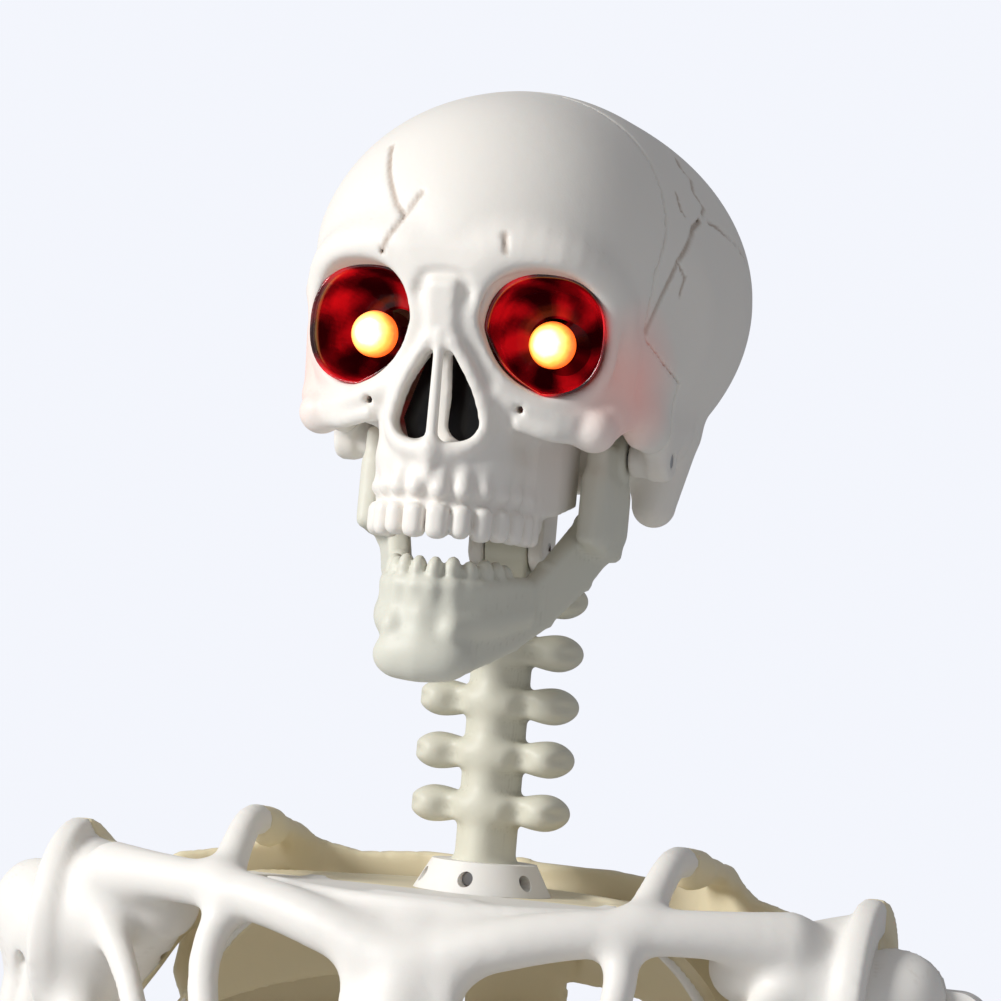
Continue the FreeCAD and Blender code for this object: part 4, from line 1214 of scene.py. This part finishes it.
def build_spine(stance: Stance) -> None:
    """Upper spine with the waist fork, and the lumbar spine with its tongue and swivel post."""
    upper = Clay((-34, -24, -14), (34, 32, 238), 1.3)
    upper.drum((0, 0, 122), (9, 9), 108, edge=2)
    for i in range(8):
        add_vertebra(upper, 26 + i * 26, 13, 18, 24, 12)
    upper.slab((0, 0, 11), (14, 9, 11), 3, blend=2)
    upper.drum((0, 0, 0), (10, 10), 14, axis=0, edge=2)
    upper.slab((0, 0, -4.5), (8.4, 20, 15.5), 0.4, cut=True)
    for z in (30, 90, 150):
        upper.drum((0, 27, z), (6.4, 6.4), 15, axis=1, cut=True)
    dress(upper.skin("upper_spine_bones", pin_place(stance, "waist_bend")), Finish.CREAM, "chest", "thoracic_spine")
    lower = Clay((-38, -24, -150), (38, 42, 14), 1.1)
    lower.drum((0, 0, -66), (11, 11), 48.5, edge=2)
    for i in range(3):
        add_vertebra(lower, -96 + i * 30, 18, 21, 30, 34)
    lower.drum((0, 0, 0), (9.5, 9.5), 8, axis=0, edge=1.5)
    lower.slab((0, 0, -10), (8, 8, 10), 1.5)
    lower.drum((0, 0, -128), (9, 9), 18, edge=1)
    lower.drum((0, 0, 0), (2.6, 2.6), 12, axis=0, cut=True)
    dress(lower.skin("lumbar_bones", pin_place(stance, "waist_bend")), Finish.CREAM, "lumbar", "lumbar_spine")


# ---- chest --------------------------------------------------------------------------------------------------------
@dataclass
class Chest:
    """Front and back rib shells, in millimetres about the middle of the shoulder axis.

    Args:
        stance: Joint places.
    """

    stance: Stance

    SECTIONS = ((30, 52, 50), (8, 86, 70), (-45, 120, 88), (-115, 136, 96), (-185, 134, 92), (-262, 116, 80))
    RIB_LEAN = math.radians(20)
    RIB_STEP = 29

    def rise(self, y: np.ndarray, z: np.ndarray) -> np.ndarray:
        """Height measured square to the slanting ribs."""
        return -y * math.sin(self.RIB_LEAN) + (z + 50) * math.cos(self.RIB_LEAN)

    def barrel(self, clay: Clay) -> np.ndarray:
        """Measures the rib barrel, whose sections are height, half width and half depth.

        Args:
            clay: Clay of the chest.

        Returns:
            Distance outside it, over the whole grid.
        """
        x, y, z = clay.axes()
        heights = np.arange(-290, 80, 2.0)
        rows = np.array(sorted(self.SECTIONS))
        kernel = np.hanning(19) / np.hanning(19).sum()
        sizes = []
        for column in (1, 2):
            line = np.interp(heights, rows[:, 0], rows[:, column])
            smooth = np.convolve(np.pad(line, 9, mode="edge"), kernel, "valid")
            sizes.append(np.interp(z, heights, smooth).astype(np.float32))
        return oval(x, y - 4, *sizes) * 0.92

    def rib_gaps(self, clay: Clay) -> np.ndarray:
        """Measures the slanting gaps between the ribs.

        Args:
            clay: Clay of the chest.

        Returns:
            Distance outside them, over the whole grid.
        """
        x, y, z = clay.axes()
        rise = self.rise(y, z)
        level = np.mod(rise - 7.5 + self.RIB_STEP / 2, self.RIB_STEP) - self.RIB_STEP / 2
        gap = np.maximum(np.abs(level) - 7.3, 21 - np.abs(x))
        ahead = np.maximum(rise - 30, -175 - rise)
        low = np.maximum(gap, ahead)
        edge = 28 + (-192 - z) * 1.13
        band = np.abs(x) - np.maximum(edge, 12)
        return np.where(y < 0, np.maximum(low, 9 - band), np.maximum(low, rise - 15))

    def shells(self) -> Clay:
        """The whole chest as one clay."""
        clay = Clay((-166, -108, -272), (166, 112, 62), 1.9)
        x, y, z = clay.axes()
        outside = self.barrel(clay)
        wall = np.maximum(np.abs(outside + 2.3) - 2.3, np.maximum(z - 28, -262 - z))
        clay.field = np.minimum(wall, clay.FAR).astype(np.float32)
        clay.work(clay.whole, self.rib_gaps(clay), 5, True)
        upper = np.maximum(np.maximum(28 - self.rise(y, z), y + 6), 21 - np.abs(x))
        clay.work(clay.whole, upper, 6, True)
        v_cut = np.maximum(np.abs(x) - (10 + (-192 - z) * 1.13), np.maximum(z + 192, y))
        clay.work(clay.whole, v_cut, 6, True)
        return clay

    def collar_bones(self, clay: Clay) -> None:
        """Breastbone, collar bones, struts and the hooks that reach back over the shoulders."""
        clay.slab((0, -58, -5), (20, 7, 16), 6, blend=8, turn=(-12, 0, 0))
        clay.chain([(0, -59, 4), (24, -58, 12), (50, -52, 19), (78, -44, 23), (104, -34, 24), (124, -24, 23)],
                   [8.5, 9, 8.5, 8, 8.5, 11], blend=9, both=True)
        clay.chain([(0, -66, -12), (0, -82, -45)], [11, 12], blend=8)
        clay.chain([(72, -46, 18), (74, -58, -2), (66, -70, -26), (50, -80, -44)], [6.5, 5.4, 5.6, 7], blend=7,
                   both=True)
        clay.chain([(54, -79, -45), (34, -83, -42), (18, -80, -36)], [7, 6.5, 8], blend=7, both=True)
        clay.chain([(126, -26, 8), (108, -42, -13), (92, -60, -42), (82, -72, -66)], [6.5, 4.6, 4.8, 6], blend=6,
                   both=True)
        clay.chain([(138, -14, -22), (124, -42, -52), (108, -62, -84)], [9, 6.5, 7], blend=8, both=True)
        clay.chain([(76, -40, 26), (78, -20, 42), (79, -6, 46), (81, 14, 44)], [6.5, 5.4, 5.6, 5.2], blend=8, both=True)

    def shoulders(self, clay: Clay) -> None:
        """Flared cups that hold the arm hubs."""
        clay.bar((108, -14, 13), (143, 0, 2), 13, 36, blend=12, both=True)
        clay.bar((112, 20, 12), (138, 4, 4), 10, 28, blend=8, both=True)
        clay.bar((116, -9, 10), (143, 0, 1), 7, 28.5, blend=2, cut=True, both=True)
        clay.drum((176, 0, 0), (70, 70), 25.2, axis=0, cut=True, both=True)
        clay.drum((148, 0, 2), (33, 38), 4.8, axis=0, edge=3, blend=4, both=True)
        clay.drum((155, 0, 0), (25, 27), 4, axis=0, edge=1, blend=2, cut=True, both=True)
        clay.drum((140, 0, 0), (8.2, 8.2), 30, axis=0, cut=True, both=True)
        clay.chain([(134, 9, 38), (122, 11, 34), (110, 13, 28)], [7, 7, 5], blend=3, cut=True, both=True)

    def shoulder_blades(self, clay: Clay) -> None:
        """Blades with their ridges, and the upper edge of the back."""
        clay.plate([(62, 81, 12), (119, 45, 22), (124, 42, -16), (91, 63, -112), (70, 76, -96)], 3.4, 3, blend=8,
                   both=True)
        clay.chain([(64, 84, -22), (96, 66, -4), (122, 44, 8), (134, 24, 12)], [3.5, 4.5, 6, 7], blend=6, both=True)
        clay.chain([(127, 24, 12), (104, 58, 14)], [7, 6], blend=6, both=True)
        clay.ribbon([(0, 70, 30), (36, 68, 30), (60, 61, 28), (74, 56, 30), (84, 46, 34), (98, 34, 26), (118, 22, 22)],
                    [7, 7, 7, 8, 9, 8, 8], 2.6, edge=2, blend=5, both=True)
        clay.chain([(79, 10, 42), (82, 30, 42), (82, 46, 38)], [6, 5, 5], blend=6, both=True)

    def yoke(self, clay: Clay) -> None:
        """Plate under the collar, hanging boss, and the clearances for the neck and the hanging pin."""
        x, y, z = clay.axes()
        clay.work(clay.whole, np.maximum(oval(x, y - 6, 84, 60), np.abs(z - 25) - 2.2), 3, False)
        clay.chain([(0, -51, 13), (30, -48, 16), (58, -38, 21)], [7, 6, 5], blend=8, both=True)
        clay.slab((0, 74, -38), (16, 12, 16), 6, blend=8)
        clay.drum((0, 92, -38), (11, 11), 12, axis=1, edge=1.5, blend=6)
        clay.drum((0, 98, -38), (4, 4), 10, axis=1, cut=True)
        clay.slab((0, 50, -120), (27, 22, 136), 6, cut=True)
        for height in (-100, -160, -220):
            clay.drum((0, 78, height), (6, 6), 16, axis=1, edge=1, blend=3)
        clay.drum((0, 22, 25), (9.4, 9.4), 14, cut=True)
        clay.drum((0, 22, 19), (15, 15), 4.2, cut=True)
        clay.drum((0, 22, 34), (25.4, 25.4), 7, blend=1, cut=True)

    def build(self) -> None:
        """Makes both shells."""
        clay = self.shells()
        for add in (self.collar_bones, self.shoulders, self.shoulder_blades, self.yoke):
            add(clay)
        solid = clay.field.copy()
        y = clay.axes()[1]
        place = pin_place(self.stance, "shoulder_swing_left")
        for name, sign, finish in (("front", 1, Finish.BONE), ("back", -1, Finish.CREAM)):
            clay.field = np.maximum(solid, sign * y + SEAM)
            dress(clay.skin("rib_shell_" + name, place), finish, "chest", "chest_" + name)


# ---- pelvis -------------------------------------------------------------------------------------------------------
def build_pelvis(stance: Stance) -> None:
    """Front and back pelvis shells in millimetres about the middle of the hip axis."""
    clay = Clay((-142, -76, -46), (142, 92, 128), 1.8)
    x, y, z = clay.axes()
    rows = np.array([(-36, 50, 42), (0, 66, 52), (40, 92, 60), (70, 124, 68), (108, 134, 70)])
    sizes = [np.interp(z, rows[:, 0], rows[:, c]).astype(np.float32) for c in (1, 2)]
    outside = oval(x, y - 8, *sizes) * 0.85
    crest = 112 - 0.0088 * (y - 14) ** 2
    wall = np.maximum(np.abs(outside + 3) - 3, np.maximum(z - crest, -36 - z))
    clay.field = np.minimum(wall, clay.FAR).astype(np.float32)
    opening = np.maximum(np.abs(x) - (44 + (z - 14) * 0.47), np.maximum(14 - z, y + 12))
    clay.work(clay.whole, opening, 8, True)
    clay.work(clay.whole, np.maximum(np.abs(x) - 60, np.maximum(58 - z, 20 - y)), 8, True)
    clay.drum((27, -20, -14), (14, 16), 60, axis=1, blend=5, cut=True, both=True)
    clay.chain([(0, -40, 3), (26, -38, 8), (50, -30, 14)], [8, 7, 8], blend=6, both=True)
    clay.chain([(48, -46, 110), (84, -52, 106), (120, -34, 106), (131, 8, 106), (118, 48, 104), (86, 66, 98)],
               [4, 5.5, 6, 6.5, 6, 5], blend=5, both=True)
    clay.chain([(30, 62, 62), (58, 66, 84), (84, 64, 98)], [8, 7, 6], blend=7, both=True)
    clay.slab((106, 0, -14), (40, 130, 47), 2, blend=4, cut=True, both=True)
    clay.drum((53, 0, 0), (26, 26), 14.8, axis=0, edge=3, blend=6, both=True)
    clay.slab((0, 50, 76), (26, 18, 46), 6, blend=6)
    for i in range(4):
        clay.bar((11, 68, 100 - i * 20), (12, 72, 100 - i * 20), 3.6, blend=3, cut=True, both=True)
        clay.ball((0, 70, 104 - i * 20), (5, 4, 7), blend=3)
    clay.chain([(0, 60, 34), (0, 62, 18), (0, 54, 4)], [12, 8, 5], blend=6)
    clay.slab((0, 42, 67.5), (19, 22.5, 33.5), 1, cut=True)
    clay.drum((0, 50, 110), (9.3, 9.3), 30, cut=True)
    clay.drum((50, 0, 0), (21, 21), 14, axis=0, cut=True, both=True)
    clay.drum((60, 0, 0), (8.3, 8.3), 30, axis=0, cut=True, both=True)
    solid = clay.field.copy()
    for name, sign in (("front", 1), ("back", -1)):
        clay.field = np.maximum(solid, sign * y + SEAM)
        shell = clay.skin("pelvis_shell_" + name, pin_place(stance, "hip_swing_left"))
        dress(shell, Finish.BONE, "pelvis", "pelvis_" + name)


# ---- limbs --------------------------------------------------------------------------------------------------------
@dataclass
class Limbs:
    """Arm and leg bones, each in millimetres about its upper joint, hanging along -Z.

    Args:
        stance: Joint places.
    """

    stance: Stance

    def both_sides(self, clay: Clay, name: str, place: Matrix, body: str, node: str) -> None:
        """Skins a left limb bone and its mirror image.

        Args:
            clay: Clay of the left bone.
            name: Piece name, without its side.
            place: Where the left bone hangs.
            body: Body that it moves with, without its side.
            node: Frame node that it replaces, without its side.
        """
        for word, mirror in (("left", False), ("right", True)):
            dress(clay.skin(f"{name}_{word}", place, mirror), Finish.BONE, f"{body}_{word}", f"{node}_{word}")

    def upper_arm(self) -> None:
        """Humerus: slotted head, second lobe, shaft and elbow fork."""
        clay = Clay((-28, -28, -290), (36, 28, 30), 1.2)
        clay.chain([(0, 0, -8), (1, 0, -34), (2, 0, -75), (1, 0, -150), (0, 0, -222), (0, 0, -246)],
                   [18, 15, 11.5, 10.5, 12, 13], blend=4)
        clay.ball((0, 0, 0), 24.6, blend=6)
        clay.ball((13, -3, 5), (14.5, 16, 16.5), blend=5)
        clay.chain([(7, -24, 14), (5.5, -10, 25), (5.5, 10, 25), (7, 24, 14)], 1.6, blend=4, cut=True)
        clay.bar((5, -19, 2), (6, -15, -36), 1.8, 1.2, blend=4, cut=True)
        clay.slab((0, 0, -255), (17, 11, 15), 5, blend=8)
        clay.drum((11.8, 0, -270), (15, 15), 5.2, axis=0, edge=3, blend=4, both=True)
        clay.ball((17, 0, -258), (6, 7, 9), blend=6, both=True)
        clay.slab((0, 0, -270), (6.4, 30, 17), 0.6, cut=True)
        clay.drum((0, 0, -270), (2.5, 2.5), 40, axis=0, cut=True)
        clay.slab((0, 0, 22.5), (40, 5.4, 37.5), 0.6, cut=True)
        clay.drum((0, 0, 0), (2.5, 2.5), 40, axis=1, cut=True)
        self.both_sides(clay, "humerus", self.stance.hang("shoulder_swing_left", "elbow_left"), "arm", "upper_arm")

    def forearm(self) -> None:
        """Ulna and radius with the elbow tongue and the wrist fork."""
        clay = Clay((-16, -24, -250), (16, 26, 18), 1.0)
        clay.chain([(0, 5, -14), (0, 8, -30), (0, 11, -118), (0, 8, -217)], [7, 7.5, 5.4, 6.5], blend=3)
        clay.chain([(0, -6, -30), (0, -12, -70), (0, -13, -118), (0, -8, -215)], [7, 5.4, 5.6, 8], blend=3)
        clay.slab((0, 2, -33), (8, 13, 8), 4, blend=4)
        clay.drum((0, 0, 0), (14, 14), 6, axis=0, edge=2, blend=2)
        clay.slab((0, 0.5, -13), (6, 8, 12), 2, blend=2)
        clay.slab((0, 0, -222), (7.5, 13, 7), 4, blend=4)
        clay.drum((0, 7.2, -235), (9, 9), 2.8, axis=1, edge=1.5, blend=2)
        clay.drum((0, -7.2, -235), (9, 9), 2.8, axis=1, edge=1.5, blend=2)
        clay.slab((0, 0, -237), (13, 4.4, 12), 0.5, cut=True)
        clay.drum((0, 0, 0), (3, 3), 30, axis=0, cut=True)
        clay.drum((0, 0, -235), (2.5, 2.5), 30, axis=1, cut=True)
        self.both_sides(clay, "forearm_bones", self.stance.hang("elbow_left", "wrist_left"), "forearm", "forearm")

    def hand(self) -> None:
        """Wrist tongue, palm bones, four fingers and a thumb."""
        clay = Clay((-34, -52, -128), (14, 38, 12), 0.9)
        clay.drum((0, 0, 0), (8.5, 8.5), 4, axis=1, edge=1)
        clay.slab((0, 0, -8), (6, 4, 7), 1, blend=1)
        clay.slab((0, 0, -20), (5.4, 16, 8), 4, blend=4)
        for y0, y1, reach, size in ((-12, -26, 78, 4.6), (-4, -9, 86, 4.8), (5, 8, 80, 4.6), (12, 24, 70, 4.2)):
            knuckle = (0, y1, -30 - reach * 0.62)
            middle = (-5, y1 + (y1 - y0) * 0.25, knuckle[2] - reach * 0.42)
            root = (0, y0 + (y1 - y0) * 0.45, -30 - reach * 0.24)
            clay.bar((0, y0, -20), root, size, size * 0.72, blend=3)
            clay.bar(root, knuckle, size * 0.72, size * 0.8, blend=2)
            clay.ball(knuckle, size * 1.08, blend=2)
            half = tuple((a + b) / 2 for a, b in zip(knuckle, middle))
            clay.bar(knuckle, half, size * 0.85, size * 0.66, blend=1.5)
            clay.bar(half, middle, size * 0.66, size * 0.8, blend=1.5)
            clay.ball(middle, size * 0.92, blend=1.5)
            tip = (max(middle[0] - 12, -26), middle[1] + (y1 - y0) * 0.1, max(middle[2] - reach * 0.26, -124))
            clay.bar(middle, tip, size * 0.76, size * 0.6, blend=1.5)
        clay.chain([(0, -13, -20), (-7, -32, -46)], [5, 4], blend=4)
        clay.ball((-7, -34, -47), 5.2, blend=2)
        clay.bar((-7, -34, -47), (-14, -41, -74), 4, 3.8, blend=2)
        clay.ball((-14, -41.5, -74), 4.6, blend=2)
        clay.bar((-14, -42, -74), (-19, -43, -94), 3.8, 3.2, blend=2)
        clay.drum((0, 0, 0), (2.6, 2.6), 20, axis=1, cut=True)
        place = self.stance.hang("elbow_left", "wrist_left")
        place.translation = self.stance.place("wrist_left")
        self.both_sides(clay, "hand_bones", place, "hand", "hand")

    def thigh(self) -> None:
        """Femur: slotted head, outer lobe, shaft, kneecap and knee fork."""
        clay = Clay((-34, -32, -422), (36, 30, 30), 1.3)
        clay.chain([(0, 0, -8), (3, 1, -42), (4, 0, -95), (2, -2, -220), (0, 0, -328), (0, 0, -366)],
                   [18, 17, 13.5, 12.5, 15, 18], blend=6)
        clay.ball((0, 0, 0), 24, blend=6)
        clay.chain([(13, 4, 4), (13, 4, -26)], [13.5, 11], blend=6)
        clay.bar((14, -14, 12), (2, -22, -24), 2, 1.5, blend=6, cut=True)
        clay.slab((0, 0, -380), (24, 14, 18), 7, blend=8)
        clay.drum((15.7, 0, -398), (19, 19), 8.3, axis=0, edge=4, blend=4, both=True)
        clay.ball((0, -18, -384), (13, 5.4, 14), blend=3)
        clay.slab((0, 0, -398), (7.4, 40, 21), 0.6, cut=True)
        clay.drum((0, 0, -398), (2.5, 2.5), 40, axis=0, cut=True)
        clay.slab((0, 0, 22.5), (40, 5.4, 37.5), 0.6, cut=True)
        clay.drum((0, 0, 0), (2.5, 2.5), 40, axis=1, cut=True)
        self.both_sides(clay, "femur", self.stance.hang("hip_swing_left", "knee_left"), "thigh", "thigh")

    def shin(self) -> None:
        """Tibia and fibula with the knee tongue and the ankle fork."""
        clay = Clay((-30, -24, -396), (30, 24, 22), 1.2)
        clay.chain([(-3, -3, -36), (-3, -4, -80), (-3, -2, -226), (-1, 0, -352)], [15, 10.5, 8.5, 9.5], blend=4)
        clay.chain([(18, 5, -36), (18, 6, -60), (17, 5, -188), (12, 3, -358)], [6.5, 4.4, 4.4, 5.5], blend=3)
        clay.slab((0, -4, -29.5), (24, 13, 8), 5, blend=5)
        clay.drum((0, 0, 0), (17.5, 17.5), 7, axis=0, edge=2, blend=2)
        clay.slab((0, 0, -14), (7, 9, 12), 2, blend=2)
        clay.slab((0, 0, -360), (15, 9, 11), 4, blend=5)
        clay.drum((11.7, 0, -377), (12.5, 12.5), 3.3, axis=0, edge=2, blend=3, both=True)
        clay.slab((0, 0, -377), (8.4, 30, 14.5), 0.5, cut=True)
        clay.drum((0, 0, 0), (2.6, 2.6), 40, axis=0, cut=True)
        clay.drum((0, 0, -377), (2.5, 2.5), 40, axis=0, cut=True)
        self.both_sides(clay, "shin_bones", self.stance.hang("knee_left", "ankle_left"), "shin", "shin")

    def foot(self) -> None:
        """Ankle tongue, heel, instep and five toes."""
        clay = Clay((-40, -146, -78), (44, 64, 16), 1.3)
        clay.drum((0, 0, 0), (12, 12), 8, axis=0, edge=2)
        clay.slab((0, 0, -13), (8, 9, 12), 2, blend=2)
        clay.slab((0, 2, -32), (14, 22, 13), 7, blend=6)
        clay.chain([(0, 14, -34), (0, 40, -52), (0, 44, -62)], [13, 14, 12.5], blend=6)
        clay.ball((0, 46, -64), (15, 14, 11), blend=6)
        clay.slab((2, -24, -44), (18, 22, 9), 6, blend=8, turn=(22, 0, 0))
        for k, (toe, size) in enumerate(((-22, 8.0), (-9, 6.0), (3, 5.8), (15, 5.4), (26, 5.0))):
            knuckle = (toe, -92 + k * 3.0, -65 + (8 - size) * 0.7)
            clay.bar((toe * 0.5, -36, -46), knuckle, size * 1.05, size * 0.75, blend=3)
            clay.ball(knuckle, size * 1.08, blend=2)
            bend = (toe * 1.06, -114 + k * 6.0, -66)
            clay.bar(knuckle, bend, size * 0.8, size * 0.78, blend=2)
            clay.bar(bend, (toe * 1.1, -131 + k * 9.0, -75 + size * 0.9), size * 0.78, size * 0.86, blend=2)
        clay.slab((0, -40, -90), (60, 130, 15), cut=True)
        clay.drum((0, 0, 0), (2.6, 2.6), 30, axis=0, cut=True)
        self.both_sides(clay, "foot_bones", seat(self.stance.place("ankle_left")), "foot", "foot")

    def build(self) -> None:
        """Makes every limb bone."""
        for make in (self.upper_arm, self.forearm, self.hand, self.thigh, self.shin, self.foot):
            make()


# ---- scene --------------------------------------------------------------------------------------------------------
CAD_FINISHES = {
    "jaw_pins": Finish.STEEL, "nod_pin": Finish.STEEL, "nose_insert": Finish.BLACK, "battery_case": Finish.BLACK,
    "battery_door": Finish.BLACK, "battery_cells": Finish.CELL, "door_screw": Finish.STEEL, "eye_leds": Finish.LENS,
    "circuit_board": Finish.BOARD, "eye_wires": Finish.WIRE, "switch_knob": Finish.BLACK}


def finish_for(node: str) -> Finish:
    """Finish of a frame node that stays as it is."""
    if node in CAD_FINISHES:
        return CAD_FINISHES[node]
    if node.endswith(("_pin", "_pins", "_screws", "_pin_left", "_pin_right")):
        return Finish.STEEL
    return Finish.CREAM if "back" in node or "spine" in node else Finish.BONE


def keep_rest(frame: dict) -> None:
    """Gives every frame node that no new piece stands for its own finish."""
    for name, node in frame["nodes"].items():
        node.data.materials.clear()
        node.data.materials.append(finish_for(name).material())


def light_the_room() -> None:
    """Pale surround, a broad soft light ahead and above on the left, and a weaker one behind."""
    bpy.context.scene.view_settings.view_transform = "Standard"
    world = bpy.data.worlds.new("pale_room")
    world.use_nodes = True
    nodes, links = world.node_tree.nodes, world.node_tree.links
    backdrop = nodes["Background"]
    backdrop.inputs["Color"].default_value = (0.90, 0.92, 0.98, 1)
    path, power = nodes.new("ShaderNodeLightPath"), nodes.new("ShaderNodeMix")
    power.inputs["A"].default_value, power.inputs["B"].default_value = 0.34, 1.0
    links.new(path.outputs["Is Camera Ray"], power.inputs["Factor"])
    links.new(power.outputs["Result"], backdrop.inputs["Strength"])
    bpy.context.scene.world = world
    for name, place, aim, size, power in (("key", (-1.9, -1.9, 1.25), (0, -0.1, 0.2), 1.0, 80),
                                          ("fill", (1.6, -2.4, 0.3), (0, -0.1, 0.0), 1.6, 3)):
        lamp = bpy.data.lights.new(name, "AREA")
        lamp.shape, lamp.size, lamp.energy = "DISK", size, power
        holder = show(name, lamp)
        holder.location = place
        holder.rotation_euler = (Vector(place) - Vector(aim)).to_track_quat("Z", "Y").to_euler()


def lay_floor() -> None:
    """Plain pale floor under the figure's soles."""
    shape = bmesh.new()
    bmesh.ops.create_grid(shape, x_segments=1, y_segments=1, size=6)
    mesh = bpy.data.meshes.new("floor")
    shape.to_mesh(mesh)
    shape.free()
    mesh.transform(Matrix.Translation((0, 0, FLOOR)))
    floor = show("floor", mesh)
    floor.data.materials.append(PlainFinish("pale_floor", (0.80, 0.81, 0.83), rough=0.7, grain=30).make())


def set_camera(middle: Vector) -> None:
    """Portrait camera, slightly to the figure's left and a little below its eyes, leaned by a few degrees."""
    ahead = Vector((-0.29192, 0.95579, 0.03530)).normalized()
    level = ahead.cross(Vector((0, 0, 1))).normalized()
    upright = level.cross(ahead)
    lean = math.radians(4.95)
    right = level * math.cos(lean) + upright * math.sin(lean)
    up = right.cross(ahead)
    camera = bpy.data.cameras.new("portrait")
    camera.sensor_width, camera.lens = 36, 145.4
    camera.clip_start, camera.clip_end = 0.05, 50
    holder = show("portrait", camera)
    turn = Matrix((right, up, -ahead)).transposed().to_4x4()
    holder.matrix_world = Matrix.Translation(middle + Vector((422.4, -1389.9, -124.4)) * MM) @ turn
    bpy.context.scene.camera = holder


def main() -> None:
    """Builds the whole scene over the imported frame."""
    logging.basicConfig(level=logging.INFO, format="%(message)s")
    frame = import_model()
    stance = read_stance(frame)
    keep_rest(frame)
    head = Head(stance)
    head.build()
    build_neck(stance)
    build_spine(stance)
    Chest(stance).build()
    build_pelvis(stance)
    Limbs(stance).build()
    light_the_room()
    lay_floor()
    set_camera(head.middle)


if __name__ == "__main__":
    main()
